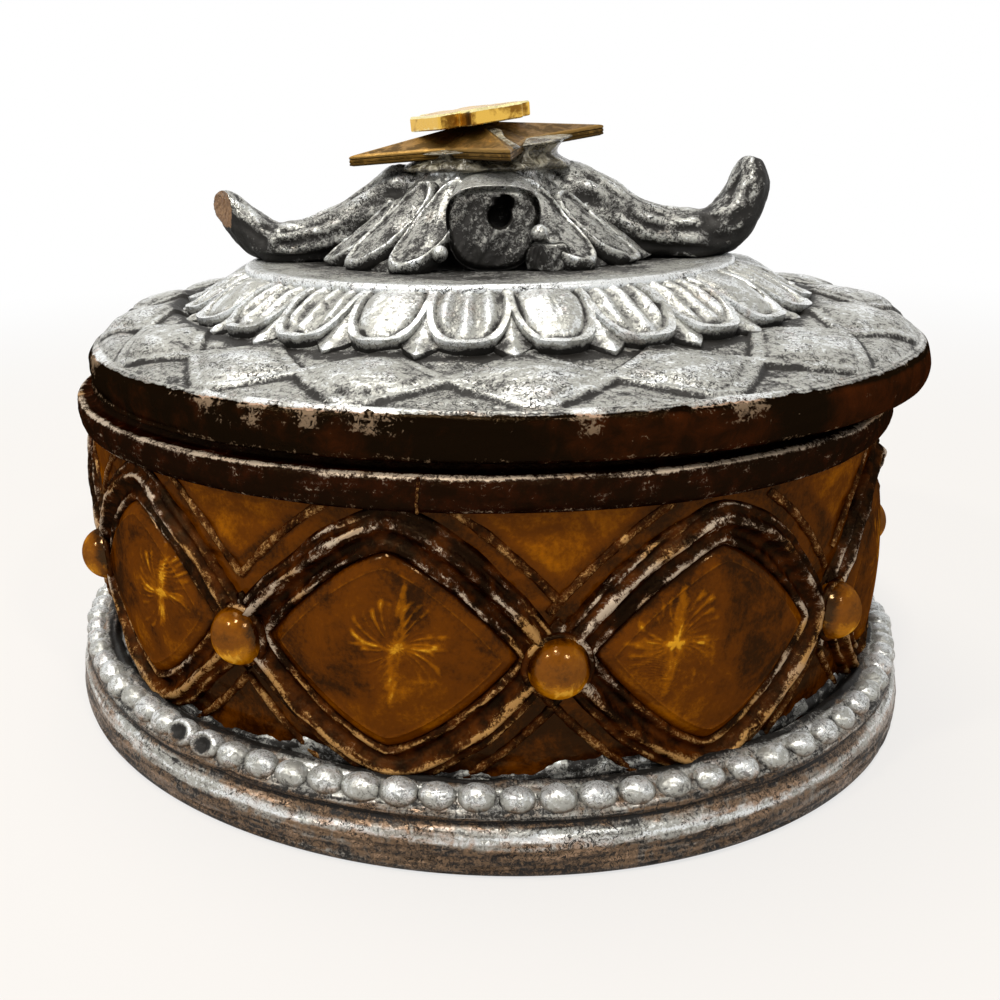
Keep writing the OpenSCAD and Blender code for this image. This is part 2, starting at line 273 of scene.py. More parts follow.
def axes_of(profile: Array, columns: int) -> tuple[Array, Array, Array]:
    """Angle in radians, radius and height of a turned profile, as a row and two columns."""
    return turns(columns)[None, :], profile[:, 0][:, None], profile[:, 1][:, None]


def relief(carrier: Carrier, outline: Array, lift: Carrier, rings: Array,
           sink: float = 0.6) -> tuple[Array, Array, Array, Array]:
    """A raised shape on a carrier: rings run from its middle to its outline, then under it.

    Args:
        carrier: Turns local x, y and height into points.
        outline: (n, 2) local outline about 0, 0.
        lift: Height over the carrier from x, y and the share of the way out.
        rings: Shares from near 0 to 1.
        sink: Depth of the hidden underside.

    Returns:
        (rows, n, 3) points, and x, y and share with shape (rows, n).
    """
    share = np.repeat(np.r_[rings, 1.0, 0.5][:, None], len(outline), axis=1)
    x, y = share * outline[:, 0], share * outline[:, 1]
    height = lift(x, y, share)
    height[-2:] = -sink
    return carrier(x, y, height), x, y, share


def sweep(path: Array, side: Array, up: Array, section: Array, scale: Array | float = 1.0) -> Array:
    """A section carried along a path: path + side * section x + up * section y.

    Args:
        path: (n, 3) points.
        side: (n, 3) or (3,) directions across.
        up: (n, 3) or (3,) directions of height.
        section: (m, 2) section, running round.
        scale: One size factor, or one for each point of the path.

    Returns:
        (n, m, 3) points.
    """
    size = np.broadcast_to(scale, (len(path),))[:, None, None]
    side = np.broadcast_to(side, path.shape)[:, None, :]
    up = np.broadcast_to(up, path.shape)[:, None, :]
    return path[:, None, :] + size * (section[None, :, :1] * side + section[None, :, 1:] * up)


def egg(half_x: float, half_y: float, power: float = 2.0, count: int = 48) -> Array:
    """A superellipse: each half size times cosine or sine to the power of 2 over the given power."""
    waves = np.stack([np.cos(turns(count)), np.sin(turns(count))], axis=1)
    return np.array([half_x, half_y]) * np.sign(waves) * np.abs(waves) ** (2.0 / power)


def put(name: str, skins: Sequence[Skin], material: Material, body: Body, slot: Slot,
        stands_for: Sequence[str]) -> Piece:
    """Makes one piece out of closed skins, links it to the scene and sets it on its body.

    Args:
        name: The piece's name.
        skins: Its skins, in millimetres.
        material: Its finish.
        body: What it rides on.
        slot: The record's slot of its finish; not used.
        stands_for: The CAD nodes that it replaces.

    Returns:
        The new object.
    """
    parts = [skin.arrays() for skin in skins]
    starts = np.cumsum([0] + [len(part[0]) for part in parts])
    vertices = np.vstack([part[0] for part in parts]) * MM
    quads = np.vstack([part[1] + start for part, start in zip(parts, starts)])
    triangles = np.vstack([part[2] + start for part, start in zip(parts, starts)])
    values = np.vstack([part[3] for part in parts])
    mesh = bpy.data.meshes.new(name)
    mesh.vertices.add(len(vertices))
    mesh.vertices.foreach_set("co", vertices.astype(np.float32).ravel())
    loops = np.concatenate([quads.ravel(), triangles.ravel()]).astype(np.int32)
    mesh.loops.add(len(loops))
    mesh.loops.foreach_set("vertex_index", loops)
    mesh.polygons.add(len(quads) + len(triangles))
    offsets = np.r_[np.arange(len(quads)) * 4, len(quads) * 4 + np.arange(len(triangles)) * 3]
    mesh.polygons.foreach_set("loop_start", offsets.astype(np.int32))
    mesh.update(calc_edges=True)
    mesh.polygons.foreach_set("use_smooth", np.ones(len(offsets), bool))
    for column, attribute in enumerate(("wear", "tone")):
        layer = mesh.attributes.new(attribute, "FLOAT", "POINT")
        layer.data.foreach_set("value", values[:, column].astype(np.float32))
    mesh.validate()
    mesh.materials.append(material)
    piece = bpy.data.objects.new(name, mesh)
    bpy.context.scene.collection.objects.link(piece)
    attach(piece, body.value)
    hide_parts(*stands_for)
    LOG.info("%s: %d faces", name, len(offsets))
    return piece


def crisp(piece: Piece, degrees: float) -> None:
    """Keeps a piece's edges sharp where its faces turn by more than an angle in degrees."""
    mesh = bmesh.new()
    mesh.from_mesh(piece.data)
    for edge in mesh.edges:
        if len(edge.link_faces) == 2 and edge.calc_face_angle(0.0) > math.radians(degrees):
            edge.smooth = False
    mesh.to_mesh(piece.data)
    mesh.free()


# ---- finishes


def linear(colour: str) -> tuple[float, float, float, float]:
    """An sRGB hex colour as linear red, green, blue and alpha."""
    channels = [int(colour[i : i + 2], 16) / 255.0 for i in (1, 3, 5)]
    red, green, blue = (c / 12.92 if c <= 0.04045 else ((c + 0.055) / 1.055) ** 2.4 for c in channels)
    return red, green, blue, 1.0


def node(tree: bpy.types.NodeTree, kind: str, inputs: dict | None = None,
        **settings: object) -> bpy.types.Node:
    """Adds one shader node.

    Args:
        tree: The material's or world's node tree.
        kind: The node's type, without the leading ShaderNode.
        inputs: Socket names or numbers, each with a value, an sRGB hex colour or a socket to link.
        **settings: The node's own settings.

    Returns:
        The node.
    """
    made = tree.nodes.new("ShaderNode" + kind)
    for key, value in settings.items():
        setattr(made, key, value)
    for key, value in (inputs or {}).items():
        socket = made.inputs[key]
        if isinstance(value, Socket):
            tree.links.new(value, socket)
        elif isinstance(value, str):
            socket.default_value = linear(value)
        else:
            socket.default_value = value
    return made


@dataclass(frozen=True)
class Brush:
    """Lays values and colours into the node tree of one finish."""

    tree: bpy.types.NodeTree

    def grain(self, size: float, detail: float = 4.0, rough: float = 0.55, distortion: float = 0.0,
              stretch: Sequence[float] = (1.0, 1.0, 1.0)) -> Socket:
        """Noise on object coordinates, from about 0.3 to 0.7.

        Args:
            size: Size of a patch in millimetres.
            detail: Number of finer octaves.
            rough: Weight of the finer octaves.
            distortion: How far the noise is pulled about.
            stretch: Factors on the coordinates.

        Returns:
            The noise.
        """
        place = node(self.tree, "TexCoord").outputs["Object"]
        place = node(self.tree, "Mapping", {"Vector": place, "Scale": stretch}).outputs["Vector"]
        inputs = {"Vector": place, "Scale": 1.0 / (size * MM), "Detail": detail, "Roughness": rough}
        return node(self.tree, "TexNoise", {**inputs, "Distortion": distortion}).outputs["Fac"]

    def specks(self, size: float, detail: float = 4.0, rough: float = 0.55,
            distortion: float = 0.0) -> Socket:
        """The same noise, brought to a middle of 0."""
        return self.sum((self.grain(size, detail, rough, distortion), 1.0), (1.0, -0.5))

    def carried(self) -> tuple[Socket, Socket]:
        """The wear and the tone that the piece carries."""
        wear, tone = (node(self.tree, "Attribute", attribute_name=name) for name in ("wear", "tone"))
        return wear.outputs["Fac"], tone.outputs["Fac"]

    def step(self, value: Socket, low: float, high: float, out_low: float = 0.0,
            out_high: float = 1.0) -> Socket:
        """A soft step from out_low at low to out_high at high."""
        span = {"Value": value, "From Min": low, "From Max": high, "To Min": out_low, "To Max": out_high}
        return node(self.tree, "MapRange", span, interpolation_type="SMOOTHSTEP").outputs["Result"]

    def sum(self, *terms: tuple[object, float]) -> Socket:
        """A weighted sum of sockets and numbers, each given with its weight."""
        total: object = 0.0
        for value, weight in terms:
            total = node(self.tree, "Math", {0: value, 1: weight, 2: total},
                operation="MULTIPLY_ADD").outputs[0]
        return total

    def times(self, a: object, b: object) -> Socket:
        """The product of two values."""
        return node(self.tree, "Math", {0: a, 1: b}, operation="MULTIPLY").outputs[0]

    def mix(self, share: object, a: object, b: object, blend: str = "MIX") -> Socket:
        """Colour a turning into colour b, or into their blend, as share goes from 0 to 1."""
        return node(self.tree, "MixRGB", {"Fac": share, "Color1": a, "Color2": b},
            blend_type=blend).outputs["Color"]

    def bump(self, height: Socket, depth: float) -> Socket:
        """A bumped normal; a height of 1 stands for depth in millimetres."""
        return node(self.tree, "Bump",
            {"Height": height, "Distance": depth * MM, "Strength": 1.0}).outputs["Normal"]

    def body(self, colour: Socket, rough: object, normal: Socket, metal: object = 0.0, shine: float = 0.0,
             **more: float) -> Socket:
        """The material itself; more gives its weights of Sheen or Transmission."""
        inputs = {"Base Color": colour, "Roughness": rough, "Normal": normal, "Metallic": metal,
                  "Specular IOR Level": shine, **{f"{name} Weight": value for name, value in more.items()}}
        return node(self.tree, "BsdfPrincipled", inputs).outputs["BSDF"]

    def gloss(self, under: Socket, share: float, rough: float, normal: Socket) -> Socket:
        """Lays an even gloss over a shader, the same at every angle, so that edges keep their colour."""
        inputs = {"Color": "#ffd39a", "Roughness": rough, "Normal": normal}
        coat = node(self.tree, "BsdfAnisotropic", inputs).outputs[0]
        return node(self.tree, "MixShader", {0: share, 1: under, 2: coat}).outputs[0]


@dataclass(frozen=True)
class Finish:
    """A named finish. Its subclasses say what it is made of and how it is drawn."""

    name: str = "finish"

    def draw(self, brush: Brush) -> Socket:
        """Adds the finish's nodes and gives the shader's socket."""
        raise NotImplementedError

    def made(self) -> Material:
        """The finish as a new material."""
        material = bpy.data.materials.new(self.name)
        material.use_nodes = True
        tree = material.node_tree
        tree.nodes.clear()
        node(tree, "OutputMaterial", {"Surface": self.draw(Brush(tree))})
        return material


@dataclass(frozen=True)
class AntiqueSilver(Finish):
    """Cast resin with dry-brushed silver paint over a black wash.

    To the eye: pale warm grey where the brush caught, black left in every recess and in fine
    curled specks, a soft metal sheen. wear lifts the silver, and tone darkens it with tan and
    brown, up to 1, which on the foot and the pearls is painted shade and the painted reflection
    of a brown floor; a tone of 2 is the bare brown casting.
    """

    name: str = "antique_silver"
    wash: str = "#14120f"
    grey: str = "#656564"
    silver: str = "#a3a49f"
    bright: str = "#dce0e2"
    tan: str = "#9c7042"
    raw: str = "#6e5139"
    grit: float = 1.9
    curl: float = 0.95

    def coat(self, brush: Brush) -> tuple[Socket, ...]:
        """Colour, metal share, roughness and height of the paint."""
        wear, tone = brush.carried()
        # Specks 0.4 mm across, dabs of 1.4 mm and clouds of 6 mm; each is centred on 0.
        specks = brush.specks(0.5, 4.0, 0.72, 1.0)
        dabs = brush.specks(1.7, 3.0, 0.6, 0.8)
        clouds = brush.specks(6.5, 2.0)
        cover = brush.sum((wear, 1.0), (specks, self.grit), (dabs, 1.3), (clouds, 0.8))
        colour = brush.mix(brush.step(cover, 0.08, 0.24), self.wash, self.grey)
        colour = brush.mix(brush.step(cover, 0.26, 0.46), colour, self.silver)
        colour = brush.mix(brush.step(cover, 0.6, 0.95), colour, self.bright)
        # Curled black flecks lie where a noise of 1.2 mm crosses its middle, in patches.
        worm = brush.specks(1.2, 2.0, 0.6, 1.6)
        worm = node(brush.tree, "Math", {0: worm}, operation="ABSOLUTE").outputs[0]
        where = brush.step(brush.sum((dabs, 1.0), (clouds, 1.3), (wear, -0.08)), -0.05, 0.02)
        curls = brush.times(brush.step(worm, 0.034, 0.018), brush.times(where, self.curl))
        colour = brush.mix(curls, colour, self.wash)
        # Tone and patches darken the silver to tan: real stains in random patches, and where a piece carries
        # a high tone, as on the foot and the pearls, painted shade and the painted reflection of a brown
        # floor.
        stain_and_painted_shade = brush.step(brush.sum((tone, 1.0), (dabs, 1.6), (clouds, 1.2)), 0.1, 0.9, 0.0, 0.92)
        colour = brush.mix(stain_and_painted_shade, colour, brush.mix(0.96, colour, self.tan, "MULTIPLY"))
        bare = brush.step(tone, 1.4, 1.6)
        colour = brush.mix(bare, colour, brush.mix(brush.step(specks, -0.1, 0.1), self.raw, "#8f7357"))
        full = brush.step(brush.sum((cover, 1.0), (curls, -0.5)), 0.15, 0.6)
        metal = brush.times(full, brush.step(bare, 0.0, 1.0, 0.55, 0.0))
        rough = brush.sum((brush.step(full, 0.0, 1.0, 0.6, 0.29), 1.0), (specks, 0.3))
        height = brush.sum((specks, 0.16), (dabs, 0.8), (full, 0.2), (curls, -0.25))
        return colour, metal, rough, brush.bump(height, 0.2)

    def draw(self, brush: Brush) -> Socket:
        """Adds the nodes: wash, grey, silver, highlights, specks, and tan stain with painted shade, in that
        order.
        """
        colour, metal, rough, normal = self.coat(brush)
        return brush.body(colour, rough, normal, metal, 0.3)


@dataclass(frozen=True)
class DarkPaint(Finish):
    """Cast resin under black-brown paint, its ridges rubbed through to silver and gold.

    To the eye: near black with red-brown depths, broken bright streaks along the ridges.
    tone turns the rubbed metal from silver to dull gold and lets brown resin show.
    """

    name: str = "dark_paint"
    dark: str = "#0d0200"
    brown: str = "#371502"
    silver: str = "#b3a390"
    gold: str = "#a57e4b"
    shine: float = 0.007

    def draw(self, brush: Brush) -> Socket:
        """Adds the nodes: dark ground, brown patches and broken rubs on the ridges."""
        wear, tone = brush.carried()
        specks = brush.specks(0.5, 4.0, 0.7, 1.2)
        dabs = brush.specks(2.6, 3.0, 0.6)
        thinned = brush.step(brush.sum((dabs, 2.2), (tone, 0.5)), -0.15, 0.75)
        ground = brush.mix(thinned, self.dark, self.brown)
        rub = brush.sum((wear, 1.0), (specks, 2.2), (dabs, 1.7))
        thin = brush.step(rub, 0.42, 0.74, 0.0, 0.5)
        full = brush.step(rub, 0.7, 0.84, 0.0, 0.95)
        dulled = brush.step(brush.sum((tone, 0.7), (brush.grain(8.0, 2.0), 1.0)), 0.6, 0.8)
        metal = brush.mix(dulled, self.silver, self.gold)
        colour = brush.mix(thin, ground, brush.mix(0.5, metal, self.brown))
        colour = brush.mix(full, colour, metal)
        normal = brush.bump(brush.sum((specks, 0.6), (dabs, 1.0)), 0.16)
        paint = brush.body(colour, 0.32, normal, brush.times(full, 0.5))
        return brush.gloss(paint, self.shine, 0.2, normal)


@dataclass(frozen=True)
class RimPaint(AntiqueSilver):
    """The lid's two paints: silver on top, black-brown on the rim, with a chipped edge between.

    tone is 0 on the silver and 1 on the dark rim, and the edge of the silver breaks up in
    flakes of 1 to 3 mm that show tan primer.
    """

    name: str = "rim_paint"
    dark: str = "#070200"
    brown: str = "#3a1704"
    primer: str = "#a08672"

    def draw(self, brush: Brush) -> Socket:
        """Adds the nodes of the silver and of the rim, with primer flakes between the two."""
        wear, tone = brush.carried()
        flakes = brush.specks(2.0, 4.0, 0.62, 0.5)
        patches = brush.specks(13.0, 3.0)
        specks = brush.specks(0.6, 3.0, 0.6, 1.0)
        edge = brush.sum((tone, 1.0), (flakes, -0.7), (patches, -0.25), (specks, -0.3))
        edge = brush.step(edge, 0.36, 0.42)
        chips = brush.sum((tone, -1.5), (flakes, 3.0), (patches, 2.0), (specks, 0.6), (wear, 1.0))
        chips = brush.step(chips, 0.16, 0.22)
        thinned = brush.step(brush.sum((patches, 2.2), (flakes, 0.8), (tone, 0.75)), 0.72, 1.6)
        ground = brush.mix(thinned, self.dark, self.brown)
        # rub lightens the rubbed rim, and along a band near the rim's lower edge it is a painted reflection.
        rub = brush.step(brush.sum((wear, 1.0), (specks, 2.0), (flakes, 1.4)), 0.62, 0.95, 0.0, 0.8)
        colour = brush.mix(rub, ground, "#7d6b58")
        colour = brush.mix(chips, colour, self.primer)
        grain = brush.bump(brush.sum((chips, 0.7), (flakes, 1.0), (specks, 0.3)), 0.16)
        rim = brush.gloss(brush.body(colour, 0.5, grain), 0.005, 0.2, grain)
        top = super().draw(brush)
        return node(brush.tree, "MixShader", {0: edge, 1: top, 2: rim}).outputs[0]


@dataclass(frozen=True)
class AmberResin(Finish):
    """Translucent amber polyester resin, cast and gloss coated.

    To the eye: deep brown amber that glows gold where light comes through, with cloudy
    patches of 3 to 8 mm and fine dust under a hard gloss. tone is that glow, painted into the
    colour, and wear the pale veins pressed in it, drawn in the painted glow's colour.
    """

    name: str = "amber_resin"
    deep: str = "#220b00"
    body: str = "#592c00"
    glow: str = "#9b5b00"
    light: str = "#dba024"
    shine: float = 0.012

    def draw(self, brush: Brush) -> Socket:
        """Adds the nodes: painted glow, clouds, dust, veins, painted sparkles, and a gloss that stays smooth
        over them.
        """
        wear, tone = brush.carried()
        clouds = brush.specks(6.0, 4.0, 0.62, 0.6)
        dust = brush.specks(0.55, 3.0, 0.7)
        # glow is a painted glow of light coming through the resin, spread by the clouds and dust.
        glow = brush.sum((tone, 1.0), (clouds, 1.1), (dust, 0.45))
        colour = brush.mix(brush.step(glow, 0.0, 0.42), self.deep, self.body)
        colour = brush.mix(brush.step(glow, 0.4, 0.95), colour, self.glow)
        vein = brush.sum((wear, 1.0), (dust, 0.6), (clouds, 0.5))
        colour = brush.mix(brush.step(vein, 0.12, 0.7, 0.0, 0.62), colour, self.glow)
        # lit is a painted sparkle: the light colour where the veins and the painted glow are strongest.
        lit = brush.step(brush.sum((vein, 1.0), (glow, 0.4)), 0.85, 1.35, 0.0, 0.8)
        colour = brush.mix(lit, colour, self.light)
        body = brush.body(colour, 0.5, brush.bump(brush.sum((wear, 1.0), (clouds, 1.0), (dust, 0.1)), 0.25))
        return brush.gloss(body, self.shine, 0.14, brush.bump(brush.sum((wear, 0.5), (clouds, 1.2)), 0.16))


@dataclass(frozen=True)
class Brass(Finish):
    """Thin craft brass. bright is polished gilt; aged has a brown film in patches of 2 mm.

    wear brings out the polished edges and tone the dark layers of the cut edge; tone also deepens the brown
    film, and on the plate's notched faces it is painted shade.
    """

    name: str = "brass"
    metal: str = "#c79a4a"
    edge: str = "#f2dc92"
    film_and_painted_shade: str = "#6d5230"
    tarnish: float = 0.5
    rough: float = 0.3

    def draw(self, brush: Brush) -> Socket:
        """Adds the nodes: metal, brown film and painted shade, polished edges and dark edge layers."""
        wear, tone = brush.carried()
        patches = brush.grain(2.2, 5.0, 0.6, 0.6)
        scratch = brush.grain(0.5, 2.0, 0.5, 0.0, (1.0, 0.12, 1.0))
        tarnish_and_shade = brush.sum((patches, 1.0), (tone, 0.5), (1.0, self.tarnish - 0.5))
        tarnish_and_shade = brush.step(tarnish_and_shade, 0.42, 0.62, 0.0, 0.9)
        colour = brush.mix(tarnish_and_shade, self.metal, self.film_and_painted_shade)
        colour = brush.mix(brush.step(brush.sum((wear, 1.0), (scratch, 0.5)), 0.85, 1.15), colour, self.edge)
        colour = brush.mix(brush.step(tone, 0.55, 1.0, 0.0, 0.92), colour, "#2a1c0e")
        rough = brush.sum((tarnish_and_shade, 0.22), (scratch, 0.12), (1.0, self.rough - 0.06))
        normal = brush.bump(brush.sum((scratch, 0.4), (patches, 0.6)), 0.12)
        return brush.body(colour, rough, normal, 1.0, 0.5)


@dataclass(frozen=True)
class ClearGlue(Finish):
    """Clear hot glue, set in a bead with trapped air and strands.

    To the eye: milky glass that shows what lies under it, with wet highlights.
    """

    name: str = "clear_glue"

    def draw(self, brush: Brush) -> Socket:
        """Adds the nodes: a mix of clear and milky with soft waves in the surface."""
        waves = brush.specks(2.2, 3.0, 0.6, 1.2)
        colour = brush.mix(brush.step(waves, -0.12, 0.14), "#4a4435", "#a9a491")
        return brush.body(colour, 0.12, brush.bump(waves, 0.9), shine=0.5, Transmission=0.25)


@dataclass(frozen=True)
class BrownFelt(Finish):
    """Pressed wool felt, matted fibres about 0.3 mm wide, with a soft sheen."""

    name: str = "brown_felt"

    def draw(self, brush: Brush) -> Socket:
        """Adds the nodes: fibres in colour and bump, and sheen."""
        fibres = brush.grain(0.35, 6.0, 0.7, 2.0)
        colour = brush.mix(brush.step(fibres, 0.35, 0.65), "#24150b", "#4b2f1c")
        return brush.body(colour, 0.95, brush.bump(fibres, 0.25), shine=0.5, Sheen=0.3)


@dataclass(frozen=True)
class PaleTable(Finish):
    """The plain pale floor: matt and white, faintly shaded by what stands on it."""

    name: str = "pale_table"

    def draw(self, brush: Brush) -> Socket:
        """Adds the nodes: diffuse white, lifted for the camera and for reflections."""
        diffuse = node(brush.tree, "BsdfDiffuse", {"Color": "#c1b8ac"}).outputs[0]
        white = node(brush.tree, "Emission", {"Color": (1.0, 1.0, 1.0, 1.0), "Strength": 1.0}).outputs[0]
        path = node(brush.tree, "LightPath").outputs
        seen = brush.sum((path["Is Camera Ray"], 1.0), (path["Is Transmission Ray"], 1.0),
            (path["Is Glossy Ray"], 1.0))
        place = node(brush.tree, "TexCoord").outputs["Object"]
        away = node(brush.tree, "VectorMath", {0: place}, operation="LENGTH").outputs["Value"]
        # Near the box the floor keeps its shadow; from 0.55 m out it is one with the white room.
        share = brush.times(brush.step(seen, 0.0, 1.0), brush.step(away, 0.1, 0.55, 0.72, 1.0))
        return node(brush.tree, "MixShader", {0: share, 1: diffuse, 2: white}).outputs[0]


@dataclass
class Finishes:
    """Every finish of the box, each made into a material once."""

    silver: Material = field(default_factory=AntiqueSilver().made)
    smooth: Material = field(default_factory=AntiqueSilver(name="smooth_silver", grit=1.25, curl=0.6).made)
    dark: Material = field(default_factory=DarkPaint(brown="#4b2305").made)
    collar: Material = field(default_factory=DarkPaint(name="collar_paint", brown="#2b0d02",
        shine=0.006).made)
    rim: Material = field(default_factory=RimPaint().made)
    amber: Material = field(default_factory=AmberResin().made)
    stone: Material = field(default_factory=AmberResin(
        name="amber_stone", body="#6e3c00", glow="#b9780a", light="#f0b83c", shine=0.032).made)
    aged: Material = field(default_factory=Brass(
        name="aged_brass", metal="#7c5d2b", edge="#8b6d3b", film_and_painted_shade="#453315", tarnish=0.54, rough=0.42).made)
    bright: Material = field(default_factory=Brass(
        name="bright_brass", metal="#e9bb55", edge="#fff2b4", film_and_painted_shade="#7a4f18", tarnish=0.3, rough=0.24).made)
    glue: Material = field(default_factory=ClearGlue().made)
    felt: Material = field(default_factory=BrownFelt().made)


# ---- the bowl's side


@dataclass
class Ring:
    """Where the panels, cabochons and pearls stand round the bowl."""

    panels: int = 10
    first: float = 9.2

    def azimuth(self, even: Array) -> Array:
        """Turns even azimuths into the uneven ones of the hand-made casting.

        The shift is 3.9 sin d + 2.75 sin^2 d degrees, d being the azimuth from the first
        cabochon, and two bells set the next two cabochons where the casting has them.
        """
        even = np.asarray(even, float)
        d = np.radians(even - self.first)
        return (even + 3.9 * np.sin(d) + 2.75 * np.sin(d) ** 2 + 0.9 * hump(45.2, 12.0, even)
            - 3.8 * hump(81.2, 14.0, even))

    @staticmethod
    def bulge(azimuth: Array, z: Array) -> Array:
        """What the casting's being out of round adds to the radius.

        With s the sine of the azimuth, the radius loses 0.35 s^2 + 1.36 s |s|, so that the mouth
        leans to the left; it grows from nothing at the foot to its whole at the collar.
        """
        s = np.sin(np.radians(azimuth))
        return -(0.35 * s**2 + 1.36 * s * np.abs(s)) * smooth(6.0, 44.0, z)

    @staticmethod
    def drop(azimuth: Array) -> Array:
        """How far the ring sags on the right, 1.2 mm between azimuths 35 and 60."""
        a = signed(np.asarray(azimuth))
        return -1.2 * smooth(12.0, 34.0, a) * smooth(95.0, 62.0, a)

    def edges(self) -> Array:
        """Azimuth of each cabochon, with the first repeated at the end."""
        return self.azimuth(self.first + 360.0 / self.panels * np.arange(self.panels + 1))

    def spans(self) -> list[tuple[float, float]]:
        """Middle azimuth and half width in degrees of each panel."""
        edges = self.edges()
        return [((a + b) / 2, (b - a) / 2) for a, b in zip(edges[:-1], edges[1:])]


@dataclass(frozen=True)
class Panel:
    """One panel of the wall: its number, its lens's azimuth and half width, and half its own width."""

    index: int
    azimuth: float
    half_w: float
    half_span: float


@dataclass
class Foot:
    """The silver foot: a rounded base and the pearls in its ledge."""

    radius: float = 65.2
    pad_z: float = 0.8
    top_z: float = 7.4
    pearl_r: float = 62.4
    pearl_z: float = 9.0
    pearl_d: float = 4.3
    pearls: int = 90
    broken: tuple[float, float] = (-35.0, -31.2)

    def base(self) -> Skin:
        """The base: a rounded profile turned round the axis and dented, hollow over the pad."""
        outer = curve(
            [(64.3, 0.05), (65.0, 0.3), (65.3, 0.9), (65.3, 2.0), (65.25, 3.3), (65.05, 4.5), (64.6, 5.5),
             (63.95, 6.25), (63.75, 6.75), (64.1, 7.2), (64.15, 7.8), (63.5, 8.5), (62.4, 9.2), (61.2, 9.9),
             (60.0, 10.0), (58.9, 9.2)], 64)
        profile = np.vstack([[(20.0, self.pad_z + 0.02), (50.0, self.pad_z + 0.02),
                            (62.6, self.pad_z + 0.02), (62.8, 0.1)],
                             outer, [(57.5, self.top_z), (50.0, self.top_z), (20.0, self.top_z)]])
        columns = 600

        def dent(azimuth: Array, radius: Array, height: Array) -> Pair:
            """Radius and height plus ripples and shallow dents, only on the outside."""
            a = np.radians(azimuth)
            out = smooth(62.9, 63.8, radius) * smooth(0.3, 1.2, height)
            up = smooth(58.0, 60.0, radius) * smooth(8.4, 9.4, height)
            uneven = (0.2 * ripple(a, height * 0.5, 3, 5, 5.0)
                - 0.3 * smooth(0.3, 0.8, ripple(a, height, 4, 4, 17.0)))
            return radius + out * uneven, height + up * (0.45 * ripple(a, radius * 0.4, 5, 4, 11.0))

        points = lathe(profile, columns, dent)
        a, r, z = axes_of(profile, columns)
        streaks = ripple(a, z * 2.2, 8, 5, 14.0)
        # A painted highlight runs round the middle of the face, where the light catches it; below it and
        # under the pearls the tan is painted shade and the painted reflection of a brown floor, flecked with
        # black.
        bright = (0.4 + 0.45 * hump(4.9, 0.9, z) + 0.38 * streaks + 0.2 * smooth(8.6, 9.8, z) * (r > 61.0)
            - 0.5 * smooth(61.4, 60.2, r))
        bright = bright - 0.4 * hump(6.8, 0.5, z) - 0.4 * smooth(1.6, 0.5, z) * (0.6 + streaks)
        tan = 0.34 + 0.7 * smooth(4.8, 3.4, z) + 0.65 * hump(6.9, 1.0, z) + 0.4 * ripple(a, z, 9, 3, 5.0)
        return Skin(points, bright, unit(tan))

    def overspill(self, ring: Ring) -> Skin:
        """The silver that ran up the wall between the pearls: a thin band with a ragged upper edge."""
        columns, rows = 900, 7
        a = turns(columns)[None, :]
        ragged = ripple(a, 0.0 * a, 13, 6, 30.0)
        top = 10.2 + 0.7 * ragged + 1.5 * unit(ripple(a, 0.0 * a, 14, 3, 9.0))
        t = np.linspace(0, 1, rows)[:, None]
        z = 9.2 + (top - 9.2) * t
        thick = 0.4 * np.sqrt(unit(1 - t**3)) * (1 + 0.5 * ripple(a, t, 15, 4, 30.0)) - 0.12 * (t > 0.99)
        turn = np.degrees(a) + 0.0 * z
        radius = 58.6 + ring.bulge(turn, z) + thick
        inner = np.stack([around(turn[0], 58.0, z[end]) for end in (-1, 0)])
        points = np.concatenate([around(turn, radius, z), inner])
        wear = np.concatenate([0.14 + 0.65 * ragged + 0.3 * ripple(a, t, 16, 3, 12.0),
            np.zeros((2, columns))])
        return Skin(points, wear, 0.0, Ends.JOINED)

    def pearl(self, azimuth: float, index: int) -> Skin:
        """One pearl: a ball of rings, a little uneven, and hollowed where it is broken.

        The ball is wider along the row than it is high, so that it runs into its neighbours.
        """
        rng = np.random.default_rng(1000 + index)
        size = self.pearl_d / 2 * rng.uniform(0.88, 1.04)
        lat = np.radians(np.linspace(-84, 84, 13))[:, None]
        lon = turns(20)[None, :]
        # The ball's pole points out of the bowl and up, where it catches the light.
        lump = 1 + 0.05 * ripple(lon, 3 * lat, 1100 + index, 3, 2.0)
        out, level = size * np.sin(lat) * lump, size * np.cos(lat) * lump
        up, side = level * np.cos(lon), level * np.sin(lon)
        is_broken = min(abs(signed(azimuth - b)) for b in self.broken) < 1.9
        pit = unit((np.degrees(lat) - 42) / 42) * (1.0 if is_broken else 0.0)
        out = out - 1.5 * pit
        tilt = math.radians(35)
        radial = 0.9 * (out * math.cos(tilt) - up * math.sin(tilt))
        height = 0.84 * (out * math.sin(tilt) + up * math.cos(tilt))
        side = 1.13 * side
        a = math.radians(azimuth)
        r = self.pearl_r + rng.uniform(-0.15, 0.15)
        x = (r + radial) * math.sin(a) + side * math.cos(a)
        y = -(r + radial) * math.cos(a) + side * math.sin(a)
        z = self.pearl_z + height + rng.uniform(-0.12, 0.12)
        joint = smooth(0.82, 1.0, np.abs(side) / (1.13 * size))
        # wear lightens the top of each pearl as a painted highlight; tone darkens its lower half to tan as
        # painted shade and the painted reflection of a brown floor.
        wear = 0.6 + 0.16 * height - 0.45 * joint - 1.6 * pit + 0.0 * side
        return Skin(np.stack([x, y, z], axis=-1), wear, unit(0.3 - 0.5 * height))

    def build(self, ring: Ring, finishes: Finishes) -> list[Piece]:
        """Makes the base and the pearl border."""
        base = put("foot", [self.base(), self.overspill(ring)], finishes.silver, Body.BOWL, Slot.SILVER,
            ["base_foot"])
        places = ring.azimuth(ring.first + 360.0 / self.pearls * np.arange(self.pearls))
        pearls = put("pearls", [self.pearl(float(p), i) for i, p in enumerate(places)], finishes.smooth,
                     Body.BOWL, Slot.SILVER, ["pearl_border"])
        return [base, pearls]


